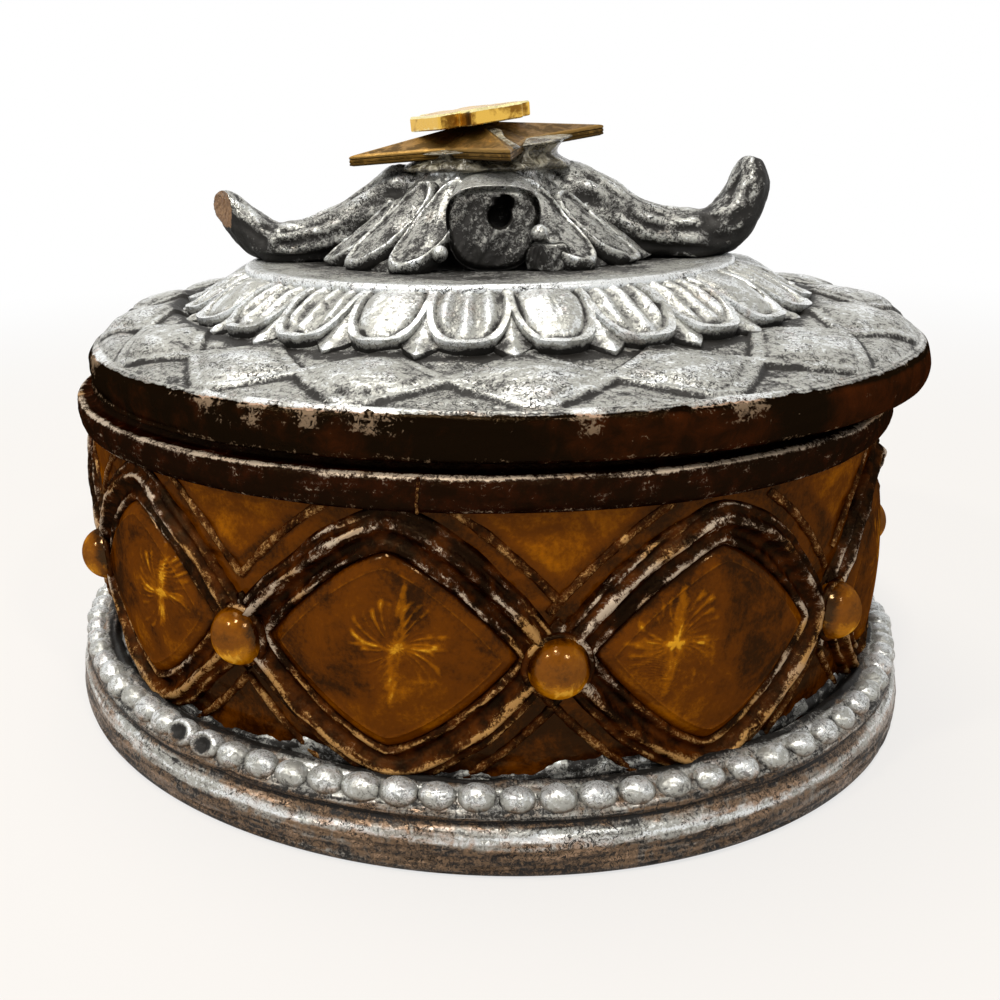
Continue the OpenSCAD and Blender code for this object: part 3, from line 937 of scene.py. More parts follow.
@dataclass
class AmberWall:
    """The amber bowl: an upright wall with a floor, open at the top."""

    outer_r: float = 58.6
    inner_r: float = 55.2
    base_z: float = 7.4
    floor_z: float = 10.4
    top_z: float = 42.8

    def skin(self, ring: Ring) -> Skin:
        """The bowl: the profile runs from the axis below, up outside, down inside and back.

        Its tone is a painted glow, most in the upper triangles, where light falls in, inside their raised
        lines.
        """
        outside = np.stack([np.full(72, self.outer_r), np.linspace(self.base_z, self.top_z, 72)], axis=1)
        fillet = np.radians(np.linspace(0, 90, 6))
        inside = np.stack([np.full(14, self.inner_r), np.linspace(self.top_z, self.floor_z + 2, 14)], axis=1)
        corner = np.stack([self.inner_r - 2 + 2 * np.cos(fillet), self.floor_z + 2 - 2 * np.sin(fillet)],
            axis=1)
        profile = np.vstack(
            [[(20.0, self.base_z), (50.0, self.base_z)], outside, inside, corner,
             [(40.0, self.floor_z), (20.0, self.floor_z)]])

        def uneven(azimuth: Array, radius: Array, height: Array) -> Pair:
            """Radius plus the ring's bulge and, on the outside alone, ripples of the casting."""
            out = smooth(58.3, 58.55, radius)
            ripples = out * 0.16 * ripple(np.radians(azimuth), height * 0.25, 21, 4, 9.0)
            return radius + ripples + ring.bulge(azimuth, height) * smooth(50.0, 54.0, radius), height

        columns = 540
        points = lathe(profile, columns, uneven)
        azimuth = np.linspace(0, 360, columns, endpoint=False)[None, :]
        z = profile[:, 1][:, None]
        edges = ring.edges()
        away = np.min(np.abs(signed(azimuth[None] - edges[:, None, None])), axis=0) * 1.03
        above = smooth(22.0, 30.0, z)
        # The flat panel of each triangle starts 3 mm inside its raised lines.
        inner = smooth(0.0, 1.6, np.abs(z - 25.4) - 8.6 - 0.82 * away)
        # light is the painted glow: brighter above z 22 to 30, inside each triangle's flat panel and just
        # under the collar.
        light = (0.06 + above * (0.16 + 0.32 * inner + 0.14 * hump(35.5, 2.2, z) * inner)
            + 0.12 * inner * (1 - above))
        return Skin(points, 0.0, light)

    def build(self, ring: Ring, finishes: Finishes) -> Piece:
        """Makes the bowl."""
        return put("amber_wall", [self.skin(ring)], finishes.amber, Body.BOWL, Slot.AMBER, ["amber_bowl"])


@dataclass
class Lattice:
    """The painted frames round the lenses, their lines, settings and webs."""

    wall_r: float = 58.6
    middle_z: float = 25.5
    top_z: float = 42.8
    bottom_z: float = 7.5
    lens_half_h: float = 12.5
    lens_share: float = 0.785
    cabochon_z: float = 24.6
    setting_r: float = 3.7
    ring: Ring = field(default_factory=Ring)

    def outline(self, half_w: float, count: int = 200) -> Array:
        """A lens's outline: a diamond of half_w whose height falls as (1 - |x / half_w|^1.4)^0.94."""
        x = half_w * np.cos(np.linspace(0, math.pi, 400))
        z = self.lens_half_h * unit(1 - np.abs(x / half_w) ** 1.4) ** 0.94
        full = np.vstack([np.stack([x, z], axis=1)[:-1], np.stack([-x, -z], axis=1)[:-1]])
        return resample(full, count, closed=True)

    def offset(self, line: Array, distance: Array | float) -> Array:
        """A closed (n, 2) line moved outwards along its softened normals, as (n, k, 2) for k distances."""
        tangent = np.roll(line, -1, axis=0) - np.roll(line, 1, axis=0)
        for _ in range(4):
            tangent = (np.roll(tangent, 1, axis=0) + 2 * tangent + np.roll(tangent, -1, axis=0)) / 4
        tangent /= np.linalg.norm(tangent, axis=1)[:, None]
        normal = np.stack([tangent[:, 1], -tangent[:, 0]], axis=1)
        return line[:, None, :] + np.atleast_1d(distance)[None, :, None] * normal[:, None, :]

    def on_wall(self, azimuth: float, x: Array, z: Array, height: Array) -> Array:
        """Points on the wall: x runs along it from an azimuth, height stands out of it."""
        turn = azimuth + np.degrees(x / (self.wall_r + 1.0))
        level = np.clip(self.middle_z + z + self.ring.drop(turn), self.bottom_z, self.top_z - 0.05)
        height = np.where(height > 0, height * (0.3 + 0.7 * smooth(self.top_z, self.top_z - 5.0, level)),
            height)
        return around(turn, self.wall_r + height + self.ring.bulge(turn, level), level)

    def panels(self) -> list[Panel]:
        """The ring's panels; the first one's lens is narrower and further left."""
        panels = []
        for index, (middle, half) in enumerate(self.ring.spans()):
            half_span = math.radians(half) * (self.wall_r + 1.0)
            left, narrow = (1.2, 0.945) if index == 0 else (0.0, 1.0)
            panels.append(Panel(index, middle - left, half_span * self.lens_share * narrow, half_span))
        return panels

    def frame_of(self, panel: Panel) -> Skin:
        """A frame: a section with two ridges and a groove carried round the lens's outline."""
        index, half_w = panel.index, panel.half_w
        section = curve(
            [(-0.35, -0.5, 0.0), (-0.2, 0.45, 0.1), (0.2, 0.95, 0.75), (0.6, 1.0, 0.75), (0.95, 0.7, 0.2),
             (1.3, 0.4, 0.0), (1.75, 0.4, 0.0), (2.2, 0.85, 0.1), (2.6, 1.45, 0.55), (3.0, 1.75, 0.95),
             (3.4, 1.7, 0.85), (3.75, 1.2, 0.2), (4.05, 0.8, 0.0), (4.35, 0.95, 0.5), (4.7, 0.95, 0.6),
             (4.95, 0.55, 0.2), (5.1, 0.05, 0.0), (5.15, -0.5, 0.0)], 25)
        line = self.outline(half_w, 264)
        along = turns(len(line))[:, None]
        d = section[None, :, 0]
        wave = ripple(along, d * 0.6, 40 + index, 4, 4.0)
        across = 1 + 0.06 * ripple(along, 0.0, 60 + index, 3, 3.0)
        moved = self.offset(line, section[:, 0])
        moved = line[:, None, :] + (moved - line[:, None, :]) * across[..., None]
        streaks = ripple(along, d * 1.3, 80 + index, 4, 9.0)
        height = (section[None, :, 1] * (1 + 0.14 * wave)
            + 0.1 * streaks * smooth(0.3, 1.0, section[None, :, 1]))
        points = self.on_wall(panel.azimuth, moved[..., 0], moved[..., 1], height)
        # Low on the bowl and where frames meet at the stones, more of the paint is rubbed off.
        low = (0.14 * smooth(4.0, -10.0, moved[..., 1])
            + 0.2 * smooth(0.7 * half_w, 1.05 * half_w, np.abs(moved[..., 0])))
        rubbed = 0.5 + 0.5 * ripple(along, d * 0.25, 70 + index, 3, 2.5)
        wear = (section[None, :, 2] * (0.35 + 0.8 * rubbed + low) + 0.45 * streaks * (0.4 + rubbed)
            + 0.4 * low - 0.14)
        tone = 0.2 + 0.35 * smooth(2.0, -10.0, moved[..., 1]) + 0.3 * ripple(along, 0.0, 90 + index, 3, 2.0)
        return Skin(points, unit(wear), tone, Ends.JOINED)

    def lines_of(self, panel: Panel) -> list[Skin]:
        """The thin raised lines that follow a frame at 7.3 mm, one in each corner of the panel."""
        line = self.offset(self.outline(panel.half_w, 400), 7.3)[:, 0, :]
        skins = []
        for side in (-1, 1):
            for end in (-1, 1):
                keep = ((line[:, 0] * side > 0) & (line[:, 1] * end > 0)
                    & (np.abs(line[:, 0]) < panel.half_span))
                level = self.middle_z + line[:, 1]
                keep &= (level < self.top_z + 0.4) & (level > self.bottom_z + 1.0)
                chosen = line[keep]
                if len(chosen) < 8:
                    continue
                chosen = resample(chosen[np.argsort(chosen[:, 0])], 34)
                tangent = np.gradient(chosen, axis=0)
                tangent /= np.linalg.norm(tangent, axis=1)[:, None]
                a = turns(9)[None, :]
                across = (0.56 * np.cos(a)
                    * (1 + 0.25 * ripple(np.linspace(0, 6, 34)[:, None], 0.0, 120 + panel.index, 3, 2.0)))
                height = 0.02 + 0.45 * np.sin(a) * np.ones((34, 1))
                x = chosen[:, :1] - tangent[:, 1:] * across
                z = chosen[:, 1:] + tangent[:, :1] * across
                points = self.on_wall(panel.azimuth, x, z, height)
                skins.append(Skin(points, unit(0.3 + 0.55 * height), 0.75))
        return skins

    def setting(self, azimuth: float, index: int) -> list[Skin]:
        """A cabochon's setting: a web over the crossing and a ring round the stone."""
        drop = self.cabochon_z - self.middle_z

        def on(x: Array, y: Array, height: Array) -> Array:
            """The wall about the stone."""
            return self.on_wall(azimuth, x, y + drop, height)

        share = np.linspace(0.06, 1, 14)
        rough = 41 + index
        web, x, y, s = relief(
            on, egg(3.6, 5.4, 1.25, 64),
            lambda x, y, s: 1.2 - 0.8 * smooth(0.6, 1.0, s) + 0.3 * ripple(x, y * 1.4, rough, 4, 1.5), share)
        rubbed = 0.55 + 0.6 * ripple(x, y, rough + 9, 4, 1.3) - 0.4 * smooth(0.85, 1, s)
        skins = [Skin(web, unit(rubbed), 0.1)]
        turn = turns(56)
        a = turns(10)[None, :]
        radius = self.setting_r + 0.5 * np.cos(a) + 0.09 * ripple(turn[:, None], 0.0, rough + 3, 3, 3.0)
        height = 1.15 + 0.5 * np.sin(a) + 0.0 * turn[:, None]
        ringed = on(radius * np.cos(turn)[:, None], radius * np.sin(turn)[:, None], height)
        caught = ripple(turn[:, None], 0.0, rough + 5, 4, 3.0) + 0.3 * np.sin(turn)[:, None]
        skins.append(Skin(ringed, unit(0.55 * np.sin(a) + 0.5 * caught - 0.06), 0.4, Ends.JOINED))
        return skins

    def build(self, ring: Ring, finishes: Finishes) -> Piece:
        """Makes all frames, lines and settings as one piece."""
        skins: list[Skin] = []
        for panel in self.panels():
            skins += [self.frame_of(panel), *self.lines_of(panel)]
        for index, azimuth in enumerate(ring.edges()[:-1]):
            skins += self.setting(float(azimuth), index)
        return put("lattice", skins, finishes.dark, Body.BOWL, Slot.DARK, ["lattice_ribs"])


@dataclass
class Stones:
    """The amber lenses with their pressed flowers, and the round cabochons."""

    lens_rise: float = 1.3
    edge_rise: float = 0.95
    cabochon_d: float = 7.1
    cabochon_rise: float = 3.6

    @staticmethod
    def flower(x: Array, y: Array, seed: int) -> Array:
        """Strength of the pressed flower, 0 to 1, at x and y from its middle.

        Upright rays half a millimetre wide taper to nothing 7 mm out, and the level ones are
        thinner. Between them lie 28 curved strokes, bells about whole numbers of the turned angle;
        each has its own length and strength from the seed, and those above are brighter.
        """
        x, y = (x - 0.12 * y) / 1.08, y / 1.22
        r = np.hypot(x, y) + 1e-6
        a = np.arctan2(y, x)
        worn = 0.75 + 0.6 * ripple(a, r * 0.8, seed, 4, 3.0)
        upright = (hump(0.0, 0.16 + 0.55 * unit(1 - r / 7.4), np.abs(x) - 0.34 * unit(1 - r / 7))
            * smooth(7.2, 5.0, r))
        level = hump(0.0, 0.14 + 0.3 * unit(1 - r / 6.8), y) * smooth(6.6, 4.2, r)
        turn = 28 * (a + 0.07 * (r - 2.0)) / math.tau
        which = np.round(turn).astype(int)
        rng = np.random.default_rng(seed)
        force = rng.uniform(0.25, 1.0, 64)[which % 64]
        reach = ((4.0 + 1.9 * np.abs(np.sin(2 * a)) ** 0.7)
            * (0.85 + 0.25 * rng.uniform(0, 1, 64)[which % 64]))
        stroke = hump(0.0, 0.24, turn - which) * smooth(reach, reach - 1.4, r) * smooth(1.0, 2.4, r) * force
        bead = hump(0.0, 0.5, r - reach + 0.6) * hump(0.0, 0.34, turn - which) * force * 0.8
        above = 0.5 + 0.5 * smooth(-2.5, 1.0, y)
        return unit((upright * 0.7 + level * 0.6 + (stroke + bead) * 0.95 * above) * worn
            + hump(0, 0.6, r) * 0.6)

    def lens(self, lattice: Lattice, panel: Panel) -> Skin:
        """A lens: a dome on a raised edge with a fine line inside it, closed under the wall.

        Height is the edge's rise, plus the dome's rise times (1 - share^2)^0.8, plus the line.
        """
        index, azimuth = panel.index, panel.azimuth
        outline = lattice.outline(panel.half_w, 180)

        def lift(x: Array, y: Array, share: Array) -> Array:
            """Edge, dome and fine line."""
            dome = unit(1 - share**2) ** 0.8
            edge = np.sqrt(unit(1 - unit((share - 0.86) / 0.14) ** 2))
            return self.edge_rise * edge + self.lens_rise * dome + 0.1 * hump(0.855, 0.016, share)

        rings = np.r_[np.linspace(0.02, 0.6, 42), np.linspace(0.64, 0.82, 6), 0.84, 0.855, 0.87, 0.89, 0.91,
            0.93, 0.95, 0.965, 0.98, 0.99, 0.996, 1.0]
        points, x, y, share = relief(partial(lattice.on_wall, azimuth), outline, lift, rings)
        # Seen through the resin, the flower lies deeper, so it shows nearer to the front on each side.
        s, c = math.sin(math.radians(azimuth)), math.cos(math.radians(azimuth))
        seen = float(np.clip(-6.7 * s - 14.0 * s * abs(s), -6.4, 6.4) * smooth(0.3, 0.8, c))
        flower = self.flower(x - seen, y - 1.5, 200 + index)
        a = np.arctan2(y, x)
        # glow is a painted glow: brightest round the flower and low down, darker at the sides, towards the
        # top and at the edge.
        glow = (0.3 + 0.2 * hump(0.0, 4.6, np.hypot(x - seen, y - 0.5))
            - 0.12 * smooth(5.0, 12.0, np.abs(x - seen)) - 0.1 * smooth(2.0, 9.0, y))
        glow = (glow + 0.2 * hump(-9.0, 3.2, y) + 0.1 * hump(0.9, 0.04, share)
            - 0.25 * smooth(0.94, 1.0, share) + 0.12 * ripple(a, share * 3, 300 + index, 4, 2.0))
        # wear draws the flower's veins, a pale painted refraction on the fine line inside the edge, and
        # darkens the edge.
        wear = flower + 0.3 * hump(0.857, 0.014, share) - 0.2 * smooth(0.93, 0.98, share)
        wear[-2:] = 0
        return Skin(points, unit(wear), glow)

    def cabochon(self, lattice: Lattice, azimuth: float) -> Skin:
        """A cabochon: height is its rise times the square root of 1 - share^2, with a painted glow low down.
        """
        drop = lattice.cabochon_z - lattice.middle_z
        points, x, y, share = relief(
            lambda x, y, h: lattice.on_wall(azimuth, x, y + drop, h),
            egg(self.cabochon_d / 2, self.cabochon_d / 2 * 1.08, 2.0, 48),
            lambda x, y, s: 0.9 + self.cabochon_rise * np.sqrt(unit(1 - s**2)),
            np.sin(np.radians(np.linspace(4, 90, 20))))
        # glow is a painted glow of light through the stone: bright low down, a painted reflection paler at
        # the top, and painted shade round the edge. gold adds painted golden glints and crackle low down.
        glow = (0.42 + 0.55 * smooth(0.6, -2.4, y) + 0.2 * smooth(1.2, 3.0, y)
            - 0.5 * smooth(0.72, 1.0, share))
        gold = (0.9 * hump(-1.9, 0.8, y) * hump(0.3, 1.8, x)
            + 0.8 * unit(ripple(x * 1.5, y * 1.5, 260, 4, 2.5)) * smooth(0.3, -0.8, y))
        return Skin(points, unit(gold), glow)

    def build(self, ring: Ring, lattice: Lattice, finishes: Finishes) -> list[Piece]:
        """Makes the lenses and the cabochons."""
        lenses = [self.lens(lattice, panel) for panel in lattice.panels()]
        stones = [self.cabochon(lattice, float(a)) for a in ring.edges()[:-1]]
        return [
            put("lenses", lenses, finishes.amber, Body.BOWL, Slot.AMBER, ["diamond_lenses"]),
            put("cabochon_stones", stones, finishes.stone, Body.BOWL, Slot.AMBER, ["cabochons"]),
        ]


@dataclass
class Collar:
    """The dark band at the bowl's mouth, with the seat for the lid."""

    inner_r: float = 55.2
    radius: float = 60.4
    base_z: float = 42.8
    seat_z: float = 48.2

    def skin(self, ring: Ring) -> Skin:
        """The band: an uneven rounded profile with a fine silver line on its upper corner."""
        outer = curve(
            [(58.2, 42.8), (59.4, 42.75), (60.05, 43.3), (60.35, 44.2), (60.45, 45.1), (60.4, 46.0),
             (60.2, 46.7), (59.7, 47.0), (58.9, 47.0), (58.2, 47.15), (57.9, 47.6), (57.7, 48.0),
             (57.3, 48.2)], 44)
        profile = np.vstack([[(55.2, 42.8), (56.6, 42.8)], outer, [(56.2, 48.2), (55.2, 48.2)],
            [(55.2, 46.4), (55.2, 44.6)]])
        a, r, z = axes_of(profile, 480)

        def uneven(azimuth: Array, radius: Array, height: Array) -> Pair:
            """Radius plus casting ripples outside."""
            out = smooth(58.5, 60.0, radius)
            ripples = out * 0.18 * ripple(np.radians(azimuth), height * 0.4, 31, 5, 6.0)
            return radius + ripples + ring.bulge(azimuth, height), height

        points = lathe(profile, 480, uneven)
        line = hump(46.85, 0.3, z) * smooth(59.0, 59.8, r)
        streaks = ripple(a, z * 3.0, 33, 5, 12.0)
        wear = (0.04 + 0.8 * line + 0.3 * hump(43.1, 0.4, z) + 0.26 * streaks
            + 0.22 * smooth(0.4, 0.9, ripple(a, 0 * z, 35, 3, 3.0)) * hump(46, 1, z))
        wear, tone = unit(wear * smooth(57.0, 59.0, r)), 0.2 + 0.3 * ripple(a, 0 * z, 34, 3, 2.0)
        return Skin(points, wear, tone, Ends.JOINED)

    def seam(self, ring: Ring) -> Skin:
        """The mould's parting line: a fine upright ridge on the front of the band."""
        z = np.linspace(42.9, 46.9, 24)
        turn = -5.8 + 0.12 * ripple(z, 0.0, 37, 3, 1.0)
        path = around(turn, self.radius + ring.bulge(turn, z) - 0.12, z)
        a = turns(8)
        section = np.stack([0.2 * np.cos(a), 0.34 * np.sin(a)], axis=1)
        return Skin(sweep(path, np.array([1.0, 0.1, 0.0]), np.array([0.0, -1.0, 0.0]), section), 0.5, 1.0)

    def build(self, ring: Ring, finishes: Finishes) -> Piece:
        """Makes the collar."""
        return put("collar", [self.skin(ring), self.seam(ring)], finishes.collar, Body.BOWL, Slot.DARK,
            ["bowl_collar"])


# ---- the lid's side


@dataclass
class LidFace:
    """The lid: lip, dark rim and quilted slope, all on the lid's own axis."""

    shift: float = 0.6
    seat_z: float = 48.2
    lip_z: float = 44.6
    lip_r: float = 54.2
    slope_r: float = 59.2
    rim_top: float = 53.8
    root_r: float = 44.5
    petal_z: float = 57.0
    plinth_r: float = 35.4
    top_z: float = 62.0
    nodes: int = 18
    node_turn: float = -3.6
    node_r: float = 52.2

    def slope(self, radius: Array) -> Array:
        """Height of the plain slope: straight from the rim to the petals and from there to the plinth."""
        return np.interp(radius, [self.plinth_r, self.root_r, self.slope_r],
            [self.top_z, self.petal_z, self.rim_top])

    def quilt(self, azimuth: Array, radius: Array) -> Pair:
        """Height of the quilting over the slope, and its wear, at an azimuth and a radius.

        Two families of bands cross at the nodes. With u the azimuth in node steps and v the radius
        from the nodes in half fields, they run along whole numbers of u - v/2 and u + v/2. A field is
        pillowed by 16 a (1 - a) b (1 - b), a and b being how far a point is from band to band.
        """
        step = 360.0 / self.nodes
        u = (azimuth - self.node_turn) / step
        u = u + 0.035 * np.sin(math.tau * u * 2 / self.nodes + 1.0)
        v = (radius - self.node_r) / 6.9
        a, b = u - v / 2, u + v / 2
        fa, fb = a - np.floor(a), b - np.floor(b)
        bow = 16 * fa * (1 - fa) * fb * (1 - fb)
        diamond = (np.floor(a) == np.floor(b)).astype(float)
        near = np.minimum(np.minimum(fa, 1 - fa), np.minimum(fb, 1 - fb)) * 11.0
        uneven = ripple(np.radians(azimuth), radius * 0.35, 51, 5, 8.0)
        band = smooth(0.9, 0.62, near + 0.12 * uneven)
        # A diamond swells out of its bands; a triangle lies half a millimetre under them.
        swell = 0.3 + 0.95 * bow**0.75 * (1 + 0.35 * np.clip(v, -1, 1))
        low = -0.12 + 0.2 * bow
        height = band * 0.42 + (1 - band) * np.where(diamond > 0.5, swell, low) + 0.08 * uneven
        # groove is not cut into the slope: it darkens the triangles along the bands' edges as a painted
        # shadow of the bands.
        groove = hump(0.95, 0.3, near) * (1 - 0.75 * diamond)
        wear = (band * 0.66 + (1 - band) * np.where(diamond > 0.5, 0.46 + 0.3 * bow, 0.34 + 0.16 * bow)
            + 0.22 * uneven - 0.6 * groove)
        return height, wear

    def skin(self) -> Skin:
        """The lid's whole face: from the axis below, round the lip and rim, and back to the axis."""
        below = [(20.0, self.seat_z), (48.0, self.seat_z), (50.2, self.seat_z), (50.2, self.lip_z + 0.3),
            (50.6, self.lip_z), (53.6, self.lip_z), (54.2, self.lip_z + 0.6), (self.lip_r, self.seat_z),
            (57.0, self.seat_z)]
        rim = curve(
            [(59.0, 48.2), (60.0, 48.45), (60.45, 49.2), (60.62, 50.2), (60.65, 51.3), (60.55, 52.3),
             (60.2, 53.2), (59.6, 53.75), (59.0, 53.95)], 34)
        radii = np.r_[np.linspace(58.8, 44.6, 44), 43.5, 41.0, 38.0, 35.0, 20.0]
        profile = np.vstack([below, rim, np.stack([radii, self.slope(radii)], axis=1)])
        a, radius, height = np.broadcast_arrays(*axes_of(profile, 720))
        azimuth = np.degrees(a)
        lift, wear = self.quilt(azimuth, radius)
        top = (np.arange(len(profile)) >= len(below) + len(rim))[:, None] & (radius > 44.2)
        fade = smooth(59.4, 58.3, radius) * smooth(44.0, 45.0, radius)
        outer = smooth(58.0, 60.0, radius) * smooth(48.2, 49.0, height)
        # The casting stands fuller at both sides and behind than in front.
        swollen = smooth(30.0, 78.0, np.abs(signed(azimuth))) * smooth(44.4, 47.5, radius)
        height = height + top * 1.7 * swollen * smooth(60.2, 56.0, radius)
        right = 1.25 * np.sin(a) * np.abs(np.sin(a))
        lean = right * smooth(54.5, 59.0, radius) * smooth(48.1, 49.0, height)
        radius = radius + outer * 0.2 * ripple(a, height * 0.3, 52, 5, 4.0) + np.where(top, 0.0, lean)
        radius = radius + top * right * smooth(44.0, 59.0, radius)
        height = height + top * lift * fade + 0.1 * outer * ripple(a, 0.0, 53, 4, 5.0)
        points = around(azimuth, radius, height) + np.array([self.shift, 0.0, 0.0])
        lip = ~top * smooth(53.9, 52.6, height)
        zone = unit(lip + ~top * 0.18) * (1 + 0.9 * lip * smooth(15.0, 75.0, signed(azimuth)))
        # The rim is lighter at its top edge, and along a band near its lower edge as a painted reflection.
        rim_wear_and_sheen = (0.1 + 0.4 * smooth(52.8, 53.9, height) + 0.4 * hump(48.7, 0.45, height)
            + 0.3 * ripple(a, height * 3, 54, 5, 12.0))
        # Where the rim was knocked, flakes of primer hang under its upper edge.
        knocks = ((-31.0, 2.0), (-24.5, 1.6), (-18.0, 1.8), (-11.0, 3.0), (10.0, 1.5), (27.0, 3.0),
            (-62.0, 4.0))
        for knock, reach in knocks:
            rim_wear_and_sheen = rim_wear_and_sheen + 0.75 * hump(knock, reach, signed(azimuth)) * smooth(50.6, 52.0, height)
        wear = np.where(top, wear * fade + (1 - fade) * 0.36, unit(rim_wear_and_sheen))
        # Just outside the petals' tips, and under the petals, the slope is painted dark: painted shadow of
        # the petals.
        wear = wear - top * 0.7 * hump(46.3, 1.1 + 0.4 * ripple(a, 0 * radius, 56, 4, 13.0), radius)
        wear = np.where((radius < 44.2) & top, 0.0, wear)
        return Skin(points, wear, zone)

    def build(self, finishes: Finishes) -> Piece:
        """Makes the lid's face."""
        return put("lid_face", [self.skin()], finishes.rim, Body.LID, Slot.SILVER,
            ["lid_plate", "lid_bands"])


@dataclass
class Petals:
    """The ring of petals under the handle, and the leaf points between them."""

    count: int = 26
    turn: float = -2.6
    middle_r: float = 38.4
    half_l: float = 7.1
    half_w: float = 5.0
    thick: float = 1.5

    def carrier(self, lid: LidFace, azimuth: float) -> Carrier:
        """The lid's slope about an azimuth: y runs outwards from the petals' middle radius."""

        def on(x: Array, y: Array, height: Array) -> Array:
            """x across, y outwards, height straight up, and a little outwards with the slope."""
            radius = self.middle_r + y + 0.35 * height
            # Towards the plinth a petal thins out and runs in under its edge.
            height = np.where(height > 0, height * (0.6 + 0.4 * smooth(35.4, 39.0, radius)), height)
            turn = azimuth + np.degrees(x / np.maximum(radius, 25.0))
            out = 0.8 * np.sin(np.radians(turn)) * np.abs(np.sin(np.radians(turn)))
            return around(turn, radius + out, lid.slope(radius) + height) + np.array([lid.shift, 0.0, 0.0])

        return on

    def petal(self, lid: LidFace, azimuth: float, index: int) -> Skin:
        """A petal: a rounded tongue with a raised rim, a groove and, by its index, ribs or a dome inside."""
        rng = np.random.default_rng(400 + index)
        ribbed = index % 3 != 1
        long = self.half_l * rng.uniform(0.97, 1.03)
        wide = self.half_w * rng.uniform(0.96, 1.04)
        phase = rng.uniform(-0.6, 0.6)

        def ribs(x: Array, y: Array) -> Array:
            """Ribs that fan out a little towards the tip."""
            return np.cos(x / (1 + 0.03 * y) * 2.5 + phase)

        def lift(x: Array, y: Array, share: Array) -> Array:
            """Body, rim, groove and what fills the inside."""
            inside = smooth(0.8, 0.68, share)
            body = self.thick * smooth(1.002, 0.985, share)
            rim = 0.24 * smooth(0.79, 0.85, share)
            fill = 0.34 * ribs(x, y) if ribbed else 0.75 * unit(1 - (share / 0.75) ** 2)
            return (body + rim + inside * fill - 0.4 * hump(0.755, 0.055, share)
                + 0.1 * ripple(x, y, 420 + index, 4, 1.2))

        rings = np.r_[np.linspace(0.06, 0.6, 12), 0.64, 0.68, 0.72, 0.76, 0.79, 0.82, 0.85, 0.9, 0.95,
            0.975, 0.983, 0.99, 0.996, 1.0]
        points, x, y, share = relief(self.carrier(lid, azimuth), egg(wide, long, 2.35, 56), lift, rings, 0.5)
        fill = 0.5 * ribs(x, y) if ribbed else 0.25
        wear = (0.58 + 0.22 * smooth(0.8, 0.86, share)
            - 0.5 * hump(0.76, 0.05, share) * (1 + 0.6 * ripple(x, y, 440 + index, 4, 1.5)))
        # The lowest edge of each petal is painted black: a painted shadow where it meets the slope.
        wear = wear + smooth(0.74, 0.66, share) * 0.5 * fill - 1.3 * smooth(0.99, 1.0, share)
        wear = wear + 0.2 * ripple(x, y, 430 + index, 3, 1.0) + 0.12 * smooth(1.0, 5.0, y)
        return Skin(points, wear)

    def point(self, lid: LidFace, azimuth: float, index: int) -> Skin:
        """A leaf point: a pointed tongue with a ridge along it, lower than the petals."""

        def on(x: Array, y: Array, height: Array) -> Array:
            """The slope, further out than the petals' middle."""
            return self.carrier(lid, azimuth)(x, y + 3.9, height)

        points, x, y, share = relief(
            on, egg(3.3, 4.4, 1.25, 40),
            lambda x, y, s: 0.62 * smooth(1.01, 0.93, s)
            + 0.55 * unit(1 - np.abs(x) / 1.9) * smooth(1.0, 0.6, s),
            np.r_[np.linspace(0.08, 0.9, 11), 0.94, 0.97, 1.0], 0.5)
        # A point darkens towards its edge: painted shade where it meets the slope.
        wear = 0.35 + 0.5 * hump(0.0, 0.9, x) + 0.3 * smooth(2.0, 4.5, y) - smooth(0.93, 1.0, share)
        return Skin(points, wear - 0.12 + 0.2 * ripple(x, y, 460 + index, 3, 1.0), 0.0)

    def build(self, lid: LidFace, finishes: Finishes) -> list[Piece]:
        """Makes the petals and the points."""
        rng = np.random.default_rng(7)
        step = 360.0 / self.count
        places = self.turn + step * np.arange(self.count) + rng.uniform(-0.5, 0.5, self.count)
        petals = [self.petal(lid, float(p), i) for i, p in enumerate(places)]
        points = [self.point(lid, float(p + step / 2), i) for i, p in enumerate(places)]
        pieces = [
            put("petals", petals, finishes.smooth, Body.LID, Slot.SILVER, ["petal_collar"]),
            put("leaf_points", points, finishes.smooth, Body.LID, Slot.SILVER, ["petal_points"]),
        ]
        for piece in pieces:
            crisp(piece, 38)
        return pieces


